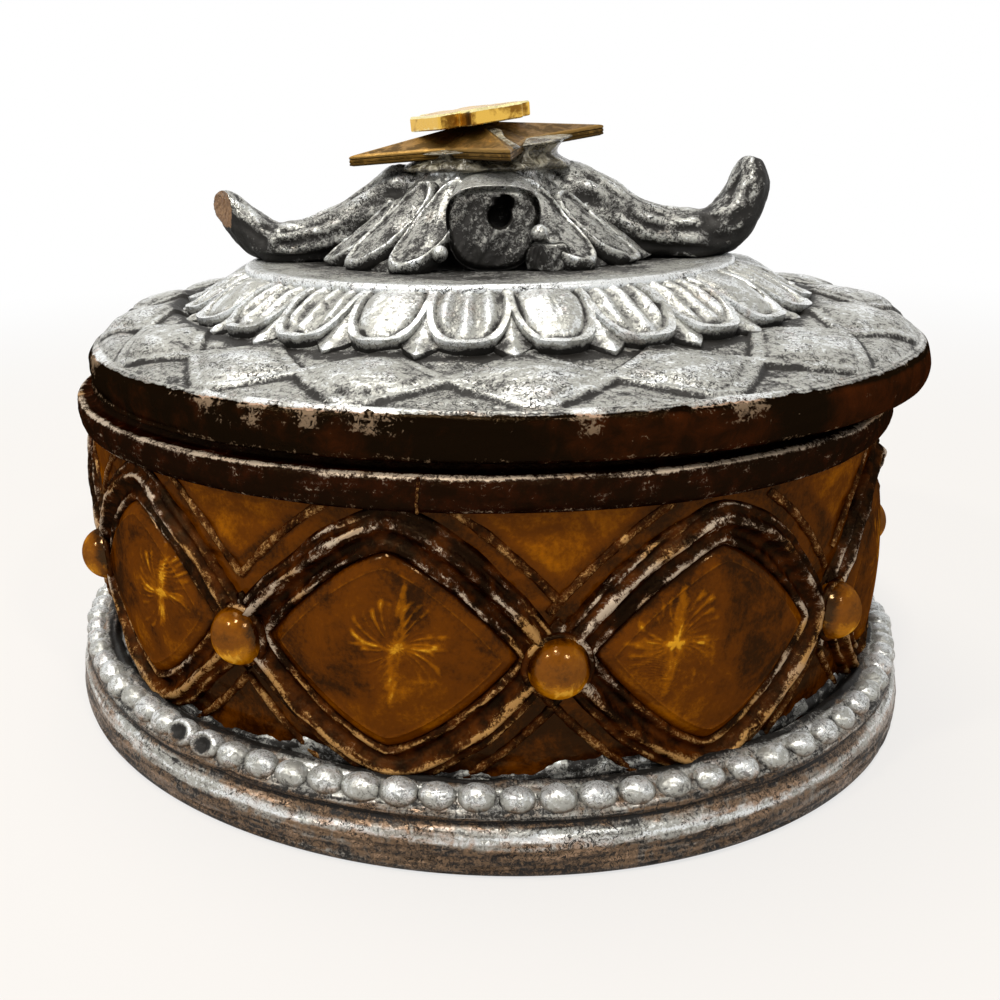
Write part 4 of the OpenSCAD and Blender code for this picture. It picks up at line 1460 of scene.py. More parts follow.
@dataclass
class Handle:
    """The handle: a plinth, a flared hub, three horns, a broken stub, feather lappets and beads."""

    shift: float = 0.6
    turn: float = 3.0
    plinth_r: float = 35.6
    plinth_z: float = 62.0
    plinth_top: float = 63.3
    hub_top: float = 76.3
    hub_r: float = 10.0
    base_r: float = 22.0

    def centred(self, points: Array) -> Array:
        """Moves points onto the lid's axis."""
        return points + np.array([self.shift, 0.0, 0.0])

    def hub_radius(self, z: Array) -> Array:
        """Radius of the hub: it grows from 10 to 22 towards the plinth by the power 1.35."""
        t = unit((z - self.plinth_top) / (self.hub_top - self.plinth_top))
        return self.hub_r + (self.base_r - self.hub_r) * (1 - t) ** 1.35

    def plinth(self) -> Skin:
        """The plinth: a low disc with a rubbed round edge and a dark top under the handle."""
        outer = curve([(34.6, 61.0), (35.5, 61.6), (35.9, 62.4), (35.95, 63.0), (35.6, 63.42), (35.0, 63.5),
            (34.2, 63.42)], 26)
        profile = np.vstack([[(15.0, 61.0), (30.0, 61.0)], outer,
            [(33.0, 63.3), (31.5, 63.2), (30.0, 63.2), (27.0, 63.2), (24.0, 63.2), (12.0, 63.2)]])

        def uneven(azimuth: Array, radius: Array, height: Array) -> Pair:
            """Radius and height with ripples at the edge."""
            a, out = np.radians(azimuth), smooth(31.0, 35.0, radius)
            lifted = height + 0.08 * out * ripple(a, radius * 0.3, 62, 4, 9.0)
            return radius + 0.16 * out * ripple(a, height * 0.0, 61, 4, 5.0), lifted

        points = lathe(profile, 360, uneven)
        a, r, _ = axes_of(profile, 360)
        wear = (0.1 + 0.45 * smooth(26.0, 30.0, r) + 0.5 * smooth(33.2, 34.6, r)
            + 0.22 * ripple(a, r, 63, 4, 9.0))
        return Skin(self.centred(points), wear)

    def hub(self) -> Skin:
        """The hub: the flare with folds that run down it, deeper towards the plinth."""
        z = np.linspace(63.1, 76.0, 44)
        profile = np.vstack([[(10.0, 63.0)], np.stack([self.hub_radius(z), z], axis=1),
            [(8.5, 76.6), (5.0, 76.7)]])

        def folds(azimuth: Array, radius: Array, height: Array) -> Pair:
            """Radius plus narrow folds and ripples."""
            a = np.radians(azimuth)
            fold = np.abs(np.sin(10 * a + 0.6 * np.sin(3 * a))) ** 0.7
            deep = smooth(76.2, 70.0, height)
            front = np.degrees(np.minimum(a, math.tau - a))
            cut = 4.6 * smooth(28.0, 20.0, front) * smooth(69.0, 64.5, height)
            uneven = 0.3 * ripple(a, height * 0.6, 71, 4, 6.0)
            return radius - cut + deep * (0.9 * fold - 0.5) + uneven, height

        points = lathe(profile, 240, folds)
        a, _, z = axes_of(profile, 240)
        fold = np.abs(np.sin(10 * a + 0.6 * np.sin(3 * a))) ** 0.7
        wear = (0.1 + 0.34 * fold * smooth(64.0, 74.0, z) + 0.5 * smooth(73.5, 76.0, z)
            + 0.2 * ripple(a, z, 72, 4, 5.0))
        front = np.minimum(a, math.tau - a)
        # The hub's front beside the stub is painted darker: painted shade.
        wear = wear - 0.5 * smooth(math.radians(34), math.radians(24), front) * smooth(74.0, 72.0, z)
        return Skin(self.centred(points), wear)

    def horn(self, azimuth: float, knots: Sequence[Sequence[float]], seed: int,
             cut: tuple[Sequence[float], Sequence[float]] | None = None) -> Skin:
        """A horn in an upright plane: at each station an oval joins its top and bottom lines.

        A sleeve's edge runs round it half way along, where the claw comes out.

        Args:
            azimuth: Its direction.
            knots: Stations as top radius, top z, bottom radius, bottom z and half width.
            seed: Chooses its unevenness.
            cut: Point and direction, as (radius, side, z), of a break's plane.

        Returns:
            Its skin.
        """
        rows, cols = 96, 56
        line = curve(knots, rows)
        s = np.linspace(0, 1, rows)[:, None]
        a = turns(cols)[None, :]
        sleeve = smooth(0.50, 0.44, s)
        strokes = ripple(a * 3.0, s * 30.0, seed, 4, 2.0)
        feather = np.abs(np.sin(5.5 * a + 3.0 * s)) ** 0.8
        lip = 0.5 + 0.5 * ripple(a * 2.0, 0.0 * s, seed + 9, 3, 2.0)
        # The claw beyond the sleeve is chipped: shallow scallops cut its sides.
        chips = (smooth(0.52, 0.6, s)
            * (ripple(a * 1.0, s * 9.0, seed + 3, 3, 2.0)
            - 0.3 * smooth(0.3, 0.8, ripple(a * 2, s * 20.0, seed + 4, 3, 2.0))))
        size = (1 + 0.05 * strokes + sleeve * (0.14 * feather - 0.05) + 0.08 * lip * hump(0.475, 0.022, s)
            + 0.08 * chips)
        size = size - 0.12 * lip * hump(0.53, 0.025, s)
        power = 2 / 2.25
        c = np.sign(np.cos(a)) * np.abs(np.cos(a)) ** power
        d = np.sign(np.sin(a)) * np.abs(np.sin(a)) ** power
        middle = (line[:, 0:2] + line[:, 2:4]) / 2
        half = (line[:, 0:2] - line[:, 2:4]) / 2
        radius = middle[:, :1] + half[:, :1] * c * size
        z = middle[:, 1:] + half[:, 1:] * c * size
        side = line[:, 4:] * d * size
        # c is 1 along the top line and -1 along the bottom: the top is painted lighter and the underside
        # darker, as painted light and shade.
        wear = (0.06 + 0.3 * c + 0.4 * strokes + 0.3 * chips + sleeve * 0.55 * (feather - 0.5)
            - 0.5 * lip * hump(0.53, 0.03, s) + 0.2 * lip * hump(0.475, 0.02, s))
        wear = wear - 0.5 * smooth(-0.2, -0.9, c) + 0.0 * s
        tone = np.zeros(wear.shape)
        if cut is not None:
            point, normal = (np.asarray(v, float) for v in cut)
            normal = normal / np.linalg.norm(normal)
            local = np.stack([radius, side + 0 * radius, z], axis=-1)
            beyond = np.maximum(0.0, (local - point) @ normal)
            local = local - beyond[..., None] * normal
            local = (local + (beyond > 0)[..., None] * 0.1
                * ripple(a * 2.0, s * 60.0, seed + 5, 3, 2.0)[..., None] * normal)
            radius, side, z = local[..., 0], local[..., 1], local[..., 2]
            tone = np.where(beyond > 0.05, 2.0, tone)
        b = math.radians(azimuth)
        x = radius * math.sin(b) + side * math.cos(b)
        y = -radius * math.cos(b) + side * math.sin(b)
        return Skin(np.stack([x, y, np.maximum(z, 62.9)], axis=-1), wear, tone)

    def stub(self) -> list[Skin]:
        """The front horn's root: a block whose broken face holds two air holes, and a low one beside it."""
        cols = 88
        ovals = egg(6.3, 5.35, 2.9, cols)
        rings = np.linspace(0.04, 1.0, 34)
        back = np.linspace(0, 1, 22)[1:]
        share = np.r_[rings, np.ones(len(back))][:, None]
        depth = np.r_[np.zeros(len(rings)), back][:, None]
        x = 1.1 + share * ovals[None, :, 0] * (1 - 0.12 * depth) * (0.97 + 0.13 * ovals[None, :, 1] / 5.35)
        z = (68.6 + share * ovals[None, :, 1] * (1 + 0.05 * depth)
            + 2.2 * depth * (ovals[None, :, 1] > 0) * np.abs(ovals[None, :, 1] / 5.35))
        hole = np.minimum(np.hypot(x - 2.75, z - 71.8) / 1.05, np.hypot(x - 2.0, z - 70.2) / 1.5)
        face = (depth == 0).astype(float)
        inside = smooth(1.12, 0.85, hole) * face
        rough = ripple(x * 0.8, z * 0.8, 81, 5, 1.2)
        y = -(19.3 + 0.45 * rough * face - 1.3 * smooth(0.84, 1.0, share) * face - 13.5 * depth
            - 8.0 * inside)
        y = y + 0.9 * face * smooth(64.0, 74.0, z) - 0.25 * (1 - face)
        # The block grows lighter towards its top; towards its foot it darkens as painted shade, and its air
        # holes are painted black as painted shade.
        wear = (0.16 + 0.26 * rough + 0.3 * smooth(72.4, 73.9, z)
            + 0.12 * (1 - face) * smooth(70.0, 74.0, z)
            - 0.3 * smooth(0.86, 0.97, share) * face * smooth(73.0, 71.0, z)
            - 3.0 * smooth(0.0, 0.3, inside))
        wear = wear + 0.12 * smooth(1.0, 3.0, x) * face - 0.35 * smooth(67.5, 64.5, z)
        points = np.stack([x + 0 * y, y, np.maximum(z + 0 * y, 63.0)], axis=-1)
        # The low block on the right of the root.
        small = egg(2.9, 2.0, 3.4, cols)
        bx = 8.5 + share * small[None, :, 0]
        bz = 64.9 + share * small[None, :, 1] + 0.15 * ripple(bx, 0.0 * bx, 83, 3, 1.0)
        by = -(19.6 - 0.7 * smooth(0.8, 1.0, share) * face - 8.0 * depth
            + 0.3 * ripple(bx, bz, 84, 4, 1.2) * face)
        block = np.stack([bx, by + 0 * bx, np.maximum(bz, 63.0)], axis=-1)
        dark = 0.12 + 0.35 * smooth(66.0, 66.8, bz) + 0.3 * ripple(bx, bz, 85, 4, 1.2)
        return [Skin(self.centred(points), wear), Skin(self.centred(block), dark)]

    def lappet(self, azimuth: float, top_z: float, length: float, half_w: float, seed: int,
            lean: float = 0.0) -> Skin:
        """A feather lappet: a long tongue down the hub with a bright raised rim round a recess.

        Args:
            azimuth: Its direction at the bottom.
            top_z: Height of its upper end.
            length: Length down the hub.
            half_w: Half width.
            seed: Chooses its unevenness.
            lean: Degrees by which its top leans round the hub.

        Returns:
            Its skin.
        """
        z_line = np.linspace(top_z, 63.2, 60)
        r_line = self.hub_radius(z_line) + 0.3 + 1.1 * np.linspace(0, 1, 60) ** 2
        steps = np.r_[0, np.cumsum(np.hypot(np.diff(r_line), np.diff(z_line)))]
        nr, nz = -np.gradient(z_line, steps), np.gradient(r_line, steps)

        def on(x: Array, y: Array, height: Array) -> Array:
            """y runs down the hub from the lappet's middle, x across it."""
            s = np.clip(length / 2 - y, 0, steps[-1])
            radius = np.interp(s, steps, r_line) + height * np.interp(s, steps, nr)
            z = np.interp(s, steps, z_line) + height * np.interp(s, steps, nz)
            turn = azimuth + lean * (y / length + 0.5) + np.degrees(x / np.maximum(radius, 8.0))
            return self.centred(around(turn, radius, z))

        outline = egg(half_w, length / 2, 2.4, 60)
        outline[:, 0] *= 1 - 0.22 * outline[:, 1] / (length / 2)

        def lift(x: Array, y: Array, share: Array) -> Array:
            """Body, bright rim and sunken inside with a middle rib."""
            return (1.0 * smooth(1.01, 0.95, share) + 0.38 * hump(0.9, 0.05, share)
                    + 0.45 * unit(1 - (share / 0.8) ** 2) + 0.16 * ripple(x, y, seed, 4, 1.4))

        rings = np.r_[np.linspace(0.07, 0.65, 9), 0.7, 0.75, 0.8, 0.835, 0.87, 0.905, 0.94, 0.97, 1.0]
        points, x, y, share = relief(on, outline, lift, rings, 1.2)
        wear = (0.38 + 0.42 * hump(0.9, 0.05, share) - 0.25 * hump(0.8, 0.05, share)
            + 0.28 * ripple(x, y, seed + 1, 4, 1.5))
        wear = wear - 0.7 * smooth(0.96, 1.0, share)
        return Skin(points, wear)

    def bead(self, azimuth: float, radius: float, z: float, size: float) -> Skin:
        """A small pearl: a ball of rings about a point of the hub."""
        lat = np.radians(np.linspace(-80, 80, 9))[:, None]
        lon = turns(14)[None, :]
        centre = around(np.array(azimuth), np.array(radius), np.array(z))
        level = [np.cos(lat) * np.cos(lon), np.cos(lat) * np.sin(lon)]
        ball = size * np.stack([*level, np.sin(lat) + 0 * lon], axis=-1)
        # Each bead is painted lighter on top and darker below: painted light and shade.
        return Skin(self.centred(centre + ball), unit(0.5 + 0.5 * np.sin(lat) + 0 * lon), 0.05)

    def build(self, finishes: Finishes) -> list[Piece]:
        """Makes the handle's pieces."""
        whole = [
            (0, 75.8, 0, 63, 5.5), (9, 76.2, 8, 63, 5.7), (14, 75.7, 13, 63, 5.6),
            (18.1, 74.0, 18, 62.9, 5.4), (22.1, 71.5, 22.5, 62.8, 5.2), (25.5, 70.1, 27, 62.7, 5.4),
            (29.1, 69.6, 31.5, 62.75, 5.8), (32.2, 70.0, 35.2, 63.3, 5.6), (33.9, 71.1, 37.9, 65.4, 5.1),
            (34.9, 72.7, 39.8, 68.6, 4.6), (35.6, 74.5, 40.6, 72.0, 4.1), (36.2, 75.8, 40.1, 74.3, 3.3),
            (36.9, 76.5, 39.2, 75.9, 2.2), (37.6, 76.6, 38.3, 76.4, 0.8)]
        left = [
            (0, 75.8, 0, 63, 5.5), (9, 76.2, 8, 63, 5.7), (12.6, 76.1, 12, 63, 5.6),
            (16.4, 73.9, 17, 62.9, 5.4), (21.0, 71.2, 22.5, 62.8, 5.2), (25.6, 69.4, 27, 62.7, 5.4),
            (29.1, 68.8, 31.5, 62.7, 5.7), (31.6, 69.0, 33.8, 63.3, 5.2), (34.3, 70.7, 36.3, 65.0, 4.4),
            (36.3, 72.2, 38.2, 66.9, 3.8), (38.0, 73.3, 39.8, 68.8, 3.4), (39.4, 73.6, 41.0, 70.0, 3.1),
            (40.6, 73.3, 41.6, 71.2, 2.4), (41.2, 72.7, 41.6, 72.0, 1.0)]
        right = 90.0 - self.turn

        def silver(name: str, skins: Sequence[Skin], stands_for: str) -> Piece:
            """Makes one silver piece of the lid."""
            return put(name, skins, finishes.silver, Body.LID, Slot.SILVER, [stands_for])

        broken = (40.2, 0.0, 71.0), (0.72, 0.62, 0.08)
        pieces = [
            silver("plinth", [self.plinth()], "handle_plinth"),
            silver("hub", [self.hub()], "handle_core"),
            silver("horn_r", [self.horn(right, whole, 501)], "horn_right"),
            silver("horn_l", [self.horn(right - 180, left, 502, broken)], "horn_left"),
            silver("horn_b", [self.horn(right + 90, whole, 503)], "horn_back"),
            silver("stub", self.stub(), "horn_stub"),
        ]
        lappets = []
        for index, (azimuth, top, length, wide, lean) in enumerate([
                (36.0, 74.4, 16.8, 3.3, -9.0), (60.0, 72.5, 15.0, 3.6, -10.0),
                (-29.0, 74.6, 17.2, 3.4, 11.0), (-52.0, 74.4, 17.0, 3.4, 12.0),
                (-71.0, 71.5, 13.6, 3.0, 9.0), (75.0, 70.5, 12.5, 3.0, -8.0), (125.0, 74.0, 16.5, 3.2, 8.0),
                (150.0, 74.0, 16.5, 3.1, 6.0), (-125.0, 74.0, 16.5, 3.2, -8.0),
                (-150.0, 74.0, 16.5, 3.1, -6.0)]):
            lappets.append(self.lappet(azimuth, top, length, wide, 520 + 3 * index, lean))
        pieces.append(silver("lappets", lappets, "handle_lappets"))
        beads = [self.bead(base - self.turn + side, 20.6, 65.8, 1.0) for base in (90, 180, 270)
            for side in (17, -17)]
        beads += [self.bead(20.6, 20.5, 68.0, 1.15), self.bead(-16.2, 20.9, 65.7, 1.1)]
        return [*pieces, silver("small_pearls", beads, "handle_beads")]


@dataclass(frozen=True)
class Seat:
    """Where a glued piece sits, and its tilt to the left, nod forward and flat turn in degrees."""

    x: float
    z: float
    tilt: float
    nod: float
    turn: float

    def placed(self, points: Array) -> Array:
        """Turns points and puts them in place: first flat, then forward, then left."""
        left, forward = -math.radians(self.tilt), math.radians(self.nod)
        turned = Matrix.Rotation(left, 3, "Y") @ Matrix.Rotation(forward, 3, "X")
        turned = turned @ Matrix.Rotation(math.radians(self.turn), 3, "Z")
        return points @ np.array(turned).T + np.array([self.x, 0.0, self.z])


def stacked(rows: Array, outline: Array) -> Array:
    """Copies of an outline, one for each row: scaled by its first number, at the height of its second."""
    flat = rows[:, 0][:, None, None] * outline[None]
    return np.concatenate([flat, np.repeat(rows[:, 1][:, None, None], len(outline), axis=1)], axis=2)


@dataclass
class GluedBrass:
    """The clear glue, the four-point star and the notched plate on top of the handle."""

    shift: float = 0.6
    star_seat: Seat = Seat(x=-0.5, z=78.25, tilt=4.0, nod=5.0, turn=13.0)
    star_r: float = 18.9
    notch_r: float = 8.4
    star_rise: float = 2.6
    plate_seat: Seat = Seat(x=-1.6, z=81.9, tilt=6.0, nod=3.0, turn=31.0)
    plate_w: float = 15.0
    plate_t: float = 2.1
    plate_notch: float = 3.3

    def star(self) -> Skin:
        """The star: an eight-sided outline with layered sides and facets that rise to a peak."""
        reach = np.array([self.star_r, self.notch_r] * 4)[:, None]
        eighths = np.radians(45.0 * np.arange(8))
        corners = reach * np.stack([np.cos(eighths), np.sin(eighths)], axis=1)
        outline = resample(corners, 160, closed=True)
        sides = [(0.3, 0.0, 0, 0.9), (0.97, 0.0, 0, 0.9), (1.0, 0.15, 0.2, 0.6), (1.0, 0.38, 0.4, 0.1),
            (0.993, 0.46, 0, 1.0), (1.0, 0.55, 0.5, 0.1), (1.0, 0.85, 0.7, 0.1), (0.992, 0.94, 0, 1.0),
            (1.0, 1.04, 0.7, 0.1), (1.0, 1.26, 1.0, 0.0), (0.988, 1.4, 1.0, 0.0), (0.965, 1.5, 0.9, 0.0)]
        top = [(s, 1.5 + self.star_rise * (1 - s / 0.965) * 0.98, 0.35, 0.0)
            for s in (0.93, 0.88, 0.8, 0.7, 0.6, 0.5, 0.4, 0.3, 0.2, 0.1)]
        rows = np.array(sides + top)
        points = stacked(rows, outline)
        angle = np.degrees(np.arctan2(points[..., 1], points[..., 0]))
        ridge = hump(0.0, 3.0, (angle + 22.5) % 45 - 22.5)
        wear = rows[:, 2][:, None] + 0.4 * ridge * (rows[:, 0][:, None] < 0.97)
        return Skin(self.star_seat.placed(points), unit(wear), rows[:, 3][:, None])

    def plate(self) -> Skin:
        """The plate: a square with notched corners, its upper edge rolled and rubbed bright."""
        h, n = self.plate_w / 2, self.plate_w / 2 - self.plate_notch
        corner = [(h, -n), (h, n), (n, n), (n, h)]
        outline = []
        for k in range(4):
            c, s = round(math.cos(k * math.pi / 2)), round(math.sin(k * math.pi / 2))
            outline += [(x * c - y * s, x * s + y * c) for x, y in corner]
        outline = resample(np.array(outline), 176, closed=True)
        rows = np.array([(0.4, 0.0, 0.2), (0.95, 0.0, 0.2), (0.99, 0.06, 0.8), (1.0, 0.2, 0.6),
            (1.0, 0.7, 0.35), (1.0, 1.3, 0.3), (1.0, 1.7, 0.45), (0.995, 1.85, 1.0),
            (0.98, self.plate_t, 1.0), (0.95, self.plate_t + 0.03, 0.8), (0.85, self.plate_t, 0.4),
            (0.6, self.plate_t - 0.05, 0.3), (0.3, self.plate_t - 0.1, 0.3)])
        points = stacked(rows, outline)
        x, y = points[..., 0], points[..., 1]
        dent = 0.1 * ripple(x * 0.5, y * 0.5, 91, 3, 1.0)
        points[..., 2] += dent * (rows[:, 1][:, None] > 1.9)
        # The tone is brown tarnish in patches and at the front, and on the upright faces of the notches
        # painted shade.
        film_and_painted_shade = (0.5 * smooth(0.1, 0.8, ripple(x * 0.5, y * 0.5, 93, 3, 1.0))
            + 0.6 * hump(3.0, 2.0, x) * (y < 0))
        film_and_painted_shade = (film_and_painted_shade + 0.55 * smooth(h - 0.05, h - 0.5, np.maximum(np.abs(x), np.abs(y)))
            * (rows[:, 0][:, None] > 0.99))
        wear = rows[:, 2][:, None] + 0.2 * ripple(x, y, 92, 3, 1.0)
        return Skin(self.plate_seat.placed(points), wear, film_and_painted_shade)

    def glue(self) -> list[Skin]:
        """The glue: a waisted blob under the star, threads down to the hub and a smear on the star."""
        profile = np.array([(3.0, 75.4), (9.0, 75.4), (11.6, 75.7), (11.8, 76.3), (10.6, 77.0), (9.6, 77.6),
            (9.4, 78.2), (10.2, 78.9), (11.0, 79.3), (7.0, 79.8), (2.0, 80.0)])
        profile = curve(profile, 40)

        def blob(azimuth: Array, radius: Array, height: Array) -> Pair:
            """Radius swollen by long ripples; the top follows the star's tilt."""
            a = np.radians(azimuth)
            swollen = radius * (1 + 0.1 * ripple(a, height * 0.5, 95, 3, 2.0))
            lean = smooth(77.5, 79.3, height) * (0.07 * swollen * np.sin(a) - 0.085 * swollen * np.cos(a))
            return swollen, height + lean

        points = lathe(profile, 120, blob)
        skins = [Skin(points + np.array([self.shift + 0.4, 0, 0]), 0.3)]
        threads = [((0.8, -6.0, 80.9), (2.0, -10.6, 79.85), (3.2, -15.6, 78.7), 0.75, 1.35),
            ((8.8, -4.2, 79.2), (8.4, -5.0, 77.8), (9.0, -5.6, 76.0), 0.9, 1.7),
            ((5.5, -7.5, 79.0), (5.2, -8.2, 77.8), (5.8, -8.6, 76.0), 0.8, 1.6),
            ((-1.5, -9.0, 78.6), (-2.2, -10.0, 77.6), (-3.0, -10.4, 76.2), 0.7, 1.6)]
        for first, middle, last, thin, thick in threads:
            path = curve([first, middle, last], 16)
            size = curve([(thick,), (thin,), (thick,)], 16)[:, 0]
            a = turns(12)
            section = np.stack([np.cos(a), 0.7 * np.sin(a)], axis=1)
            thread = sweep(path, np.array([1.0, 0, 0]), np.array([0, 1.0, 0.3]), section, size)
            skins.append(Skin(thread + np.array([self.shift, 0, 0]), 0.3))
        return skins

    def build(self, finishes: Finishes) -> list[Piece]:
        """Makes the three glued pieces, with crisp edges on the brass."""
        glue = put("glue", self.glue(), finishes.glue, Body.LID, Slot.GLUE, ["glue_bead"])
        star = put("star", [self.star()], finishes.aged, Body.LID, Slot.AGED, ["brass_star"])
        plate = put("plate", [self.plate()], finishes.bright, Body.LID, Slot.BRIGHT, ["brass_medallion"])
        for piece in (star, plate):
            crisp(piece, 16)
        return [glue, star, plate]


# ---- stage, camera and points


@dataclass(frozen=True)
class Eye:
    """The camera, as fitted to the photograph. Angles are radians, lengths metres."""

    place: tuple[float, float, float] = (0.0, -0.1657, 0.0795)
    pitch: float = 0.3758
    yaw: float = -0.1266
    roll: float = -0.030
    lens: float = 37.81
    sensor: float = 36.0
    shift_x: float = 0.15
    shift_y: float = 0.06
    width: int = 1000
    height: int = 1000

    def axes(self) -> tuple[Vector, Vector, Vector]:
        """Right, up and forward: forward from yaw and pitch, then both others rolled about it."""
        forward = Vector((math.sin(self.yaw) * math.cos(self.pitch),
            math.cos(self.yaw) * math.cos(self.pitch), -math.sin(self.pitch)))
        level = Vector((math.cos(self.yaw), -math.sin(self.yaw), 0.0))
        upright = level.cross(forward)
        c, s = math.cos(self.roll), math.sin(self.roll)
        return level * c + upright * s, upright * c - level * s, forward

    def made(self) -> Piece:
        """The camera as an object."""
        right, up, forward = self.axes()
        data = bpy.data.cameras.new("camera")
        data.sensor_fit = "AUTO"
        data.sensor_width = self.sensor
        data.lens = self.lens
        data.shift_x, data.shift_y = self.shift_x, self.shift_y
        data.clip_start = 0.01
        camera = bpy.data.objects.new("camera", data)
        bpy.context.scene.collection.objects.link(camera)
        turn = Matrix((right, up, -forward)).transposed()
        camera.matrix_world = Matrix.Translation(Vector(self.place)) @ turn.to_4x4()
        bpy.context.scene.camera = camera
        return camera

    def seen(self, points: Array) -> Array:
        """Where (n, 3) points in metres show in the image, as (n, 2) pixels."""
        right, up, forward = (np.array(v) for v in self.axes())
        local = np.asarray(points) - np.array(self.place)
        depth = local @ forward
        long = max(self.width, self.height)
        scale = long * self.lens / self.sensor
        x = self.width / 2 - self.shift_x * long + scale * (local @ right) / depth
        y = self.height / 2 + self.shift_y * long - scale * (local @ up) / depth
        return np.stack([x, y], axis=1)


@dataclass
class Stage:
    """The pale floor, the lamps and the world."""

    floor_half: float = 6.0

    def floor(self) -> Piece:
        """A wide floor under the box."""
        h = self.floor_half
        mesh = bpy.data.meshes.new("floor")
        mesh.from_pydata([(-h, -h, 0), (h, -h, 0), (h, h, 0), (-h, h, 0)], [], [(0, 1, 2, 3)])
        mesh.materials.append(PaleTable().made())
        floor = bpy.data.objects.new("floor", mesh)
        bpy.context.scene.collection.objects.link(floor)
        floor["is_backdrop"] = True
        return floor

    def lamp(self, name: str, place: Sequence[float], size: float, watts: float, colour: str) -> None:
        """An area lamp that faces the box: its place and side in metres, its power and its sRGB colour."""
        data = bpy.data.lights.new(name, "AREA")
        data.size, data.energy, data.color = size, watts, linear(colour)[:3]
        lamp = bpy.data.objects.new(name, data)
        bpy.context.scene.collection.objects.link(lamp)
        away = Vector(place) - Vector((0.0, 0.0, 0.04))
        turn = away.to_track_quat("Z", "Y").to_matrix().to_4x4()
        lamp.matrix_world = Matrix.Translation(Vector(place)) @ turn

    def world(self) -> None:
        """A soft grey room that the camera, gloss and glass see as white."""
        world = bpy.data.worlds.new("room")
        bpy.context.scene.world = world
        world.use_nodes = True
        tree = world.node_tree
        tree.nodes.clear()
        path = node(tree, "LightPath").outputs
        seen = node(tree, "Math", {0: path["Is Camera Ray"], 1: path["Is Transmission Ray"]},
            operation="MAXIMUM").outputs[0]
        seen = node(tree, "Math", {0: seen, 1: path["Is Glossy Ray"]}, operation="MAXIMUM").outputs[0]
        # Reflections find the room white at the horizon and darker towards the ceiling.
        up = node(tree, "SeparateXYZ", {0: node(tree, "TexCoord").outputs["Generated"]}).outputs["Z"]
        ceiling = node(tree, "MapRange",
            {"Value": up, "From Min": 0.3, "From Max": 0.9, "To Min": 1.0, "To Max": 0.4})
        strength = node(tree, "MapRange",
            {"Value": seen, "To Min": 0.3, "To Max": ceiling.outputs["Result"]}).outputs["Result"]
        light = node(tree, "Background", {"Color": (1.0, 1.0, 1.0, 1.0), "Strength": strength}).outputs[0]
        node(tree, "OutputWorld", {"Surface": light})

    def build(self) -> None:
        """Makes the floor, the lamps and the world."""
        self.floor()
        self.world()
        self.lamp("overhead", (-0.1, 0.16, 0.8), 0.45, 4.4, "#fffaf2")
        self.lamp("ceiling_spark", (-0.12, -0.4, 0.82), 0.12, 4.6, "#fffaf2")
        self.lamp("left_spark", (-0.52, -0.42, 0.6), 0.065, 1.8, "#fff8ee")
        self.lamp("right_spark", (0.36, -0.5, 0.64), 0.06, 1.3, "#fff8ee")


def vertices_of(piece: Piece) -> Array:
    """A finished piece's vertices in metres, with its modifiers."""
    shown = piece.evaluated_get(bpy.context.evaluated_depsgraph_get())
    flat = np.zeros(len(shown.data.vertices) * 3, np.float32)
    shown.data.vertices.foreach_get("co", flat)
    return flat.reshape(-1, 3).astype(float)


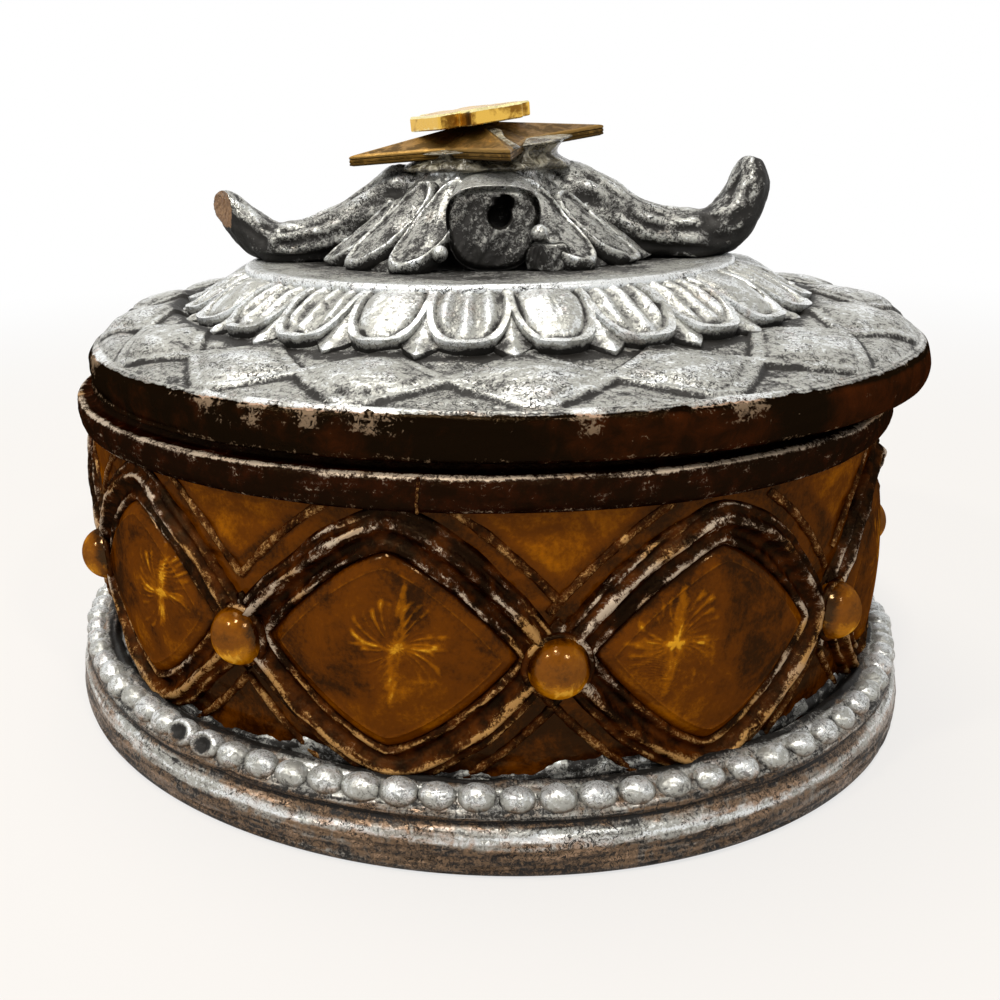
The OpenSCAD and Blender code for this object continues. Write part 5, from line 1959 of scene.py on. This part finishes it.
def write_points(eye: Eye) -> None:
    """Works out how far each named image point is from what shows there."""
    rows = []
    clouds = {p.name: vertices_of(p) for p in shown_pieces()}
    images = {name: eye.seen(cloud) for name, cloud in clouds.items()}
    every = np.vstack(list(images.values()))

    def edge(name: str, axis: int, value: float, where: Callable[[Array], float]) -> None:
        """One edge of the whole object."""
        rows.append({"name": name, "axis": "xy"[axis], "point": value,
            "shown": float(where(every[:, axis]))})

    edge("left", 0, 76.0, np.min)
    edge("right", 0, 931.0, np.max)
    edge("top", 1, 99.0, np.min)
    edge("bottom", 1, 879.0, np.max)

    def feature(name: str, point: tuple[float, float], piece: str,
            chosen: Callable[[Array, Array], Array]) -> None:
        """The middle of the box round a piece's chosen vertices in the picture."""
        picked = images[piece][chosen(clouds[piece] / MM, images[piece])]
        shown = (picked.min(0) + picked.max(0)) / 2 if len(picked) else np.array([math.nan, math.nan])
        rows.append({"name": name, "point": list(point), "shown": [float(v) for v in shown]})

    feature("right_horn_tip", (747, 158), "horn_r", lambda v, i: i[:, 1] <= i[:, 1].min() + 0.3)
    feature("left_horn_break", (210, 208), "horn_l", lambda v, i: i[:, 0] <= i[:, 0].min() + 0.3)
    feature("star_right_tip", (604, 130), "star", lambda v, i: i[:, 0] >= i[:, 0].max() - 0.3)
    feature("star_left_tip", (348, 160), "star", lambda v, i: i[:, 0] <= i[:, 0].min() + 0.3)
    feature("plate_left", (410, 121), "plate", lambda v, i: i[:, 0] <= i[:, 0].min() + 0.3)
    feature("plate_right", (527, 113), "plate", lambda v, i: i[:, 0] >= i[:, 0].max() - 0.3)

    def near(azimuth: float, width: float, least: float = 0.0) -> Callable[[Array, Array], Array]:
        """Chooses the vertices about an azimuth that are at least so far from the axis."""
        return lambda v, i: (np.abs(np.degrees(np.arctan2(v[:, 0], -v[:, 1])) - azimuth) < width) & (
            np.hypot(v[:, 0], v[:, 1]) > least)

    feature("front_cabochon", (558, 670), "cabochon_stones", near(9.2, 6.0, 59.0))
    feature("left_cabochon", (236, 638), "cabochon_stones", near(-28.2, 6.0, 59.2))
    feature("right_cabochon", (843, 610), "cabochon_stones", near(49.3, 6.0, 58.4))
    feature("left_lens", (394, 647), "lenses", near(-10.0, 16.0))
    feature("right_lens", (694, 640), "lenses", near(26.5, 15.0))
    plinth, seen = clouds["plinth"] / MM, images["plinth"]
    chosen = (plinth[:, 2] > 63.3) & (np.abs(seen[:, 0] - 504.0) < 6.0) & (plinth[:, 1] < -34.5)
    rows.append({"name": "plinth_front", "axis": "y", "point": 283.0,
        "shown": float(seen[chosen, 1].mean())})
    for row in rows:
        shown, point = np.atleast_1d(row["shown"]), np.atleast_1d(row["point"])
        row["off"] = [round(float(d), 1) for d in shown - point]


def main() -> None:
    """Builds the box piece by piece, then the stage."""
    logging.basicConfig(level=logging.INFO, format="%(message)s")
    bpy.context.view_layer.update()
    bpy.context.scene.view_settings.view_transform = "Standard"
    eye = Eye()
    eye.made()
    finishes = Finishes()
    ring, lid = Ring(), LidFace()
    lattice = Lattice(ring=ring)
    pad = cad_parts["base_pad"]
    pad.data.materials.clear()
    pad.data.materials.append(finishes.felt)
    Foot().build(ring, finishes)
    AmberWall().build(ring, finishes)
    lattice.build(ring, finishes)
    Stones().build(ring, lattice, finishes)
    Collar().build(ring, finishes)
    lid.build(finishes)
    Petals().build(lid, finishes)
    Handle().build(finishes)
    GluedBrass().build(finishes)
    Stage().build()
    write_points(eye)


if __name__ == "__main__":
    main()
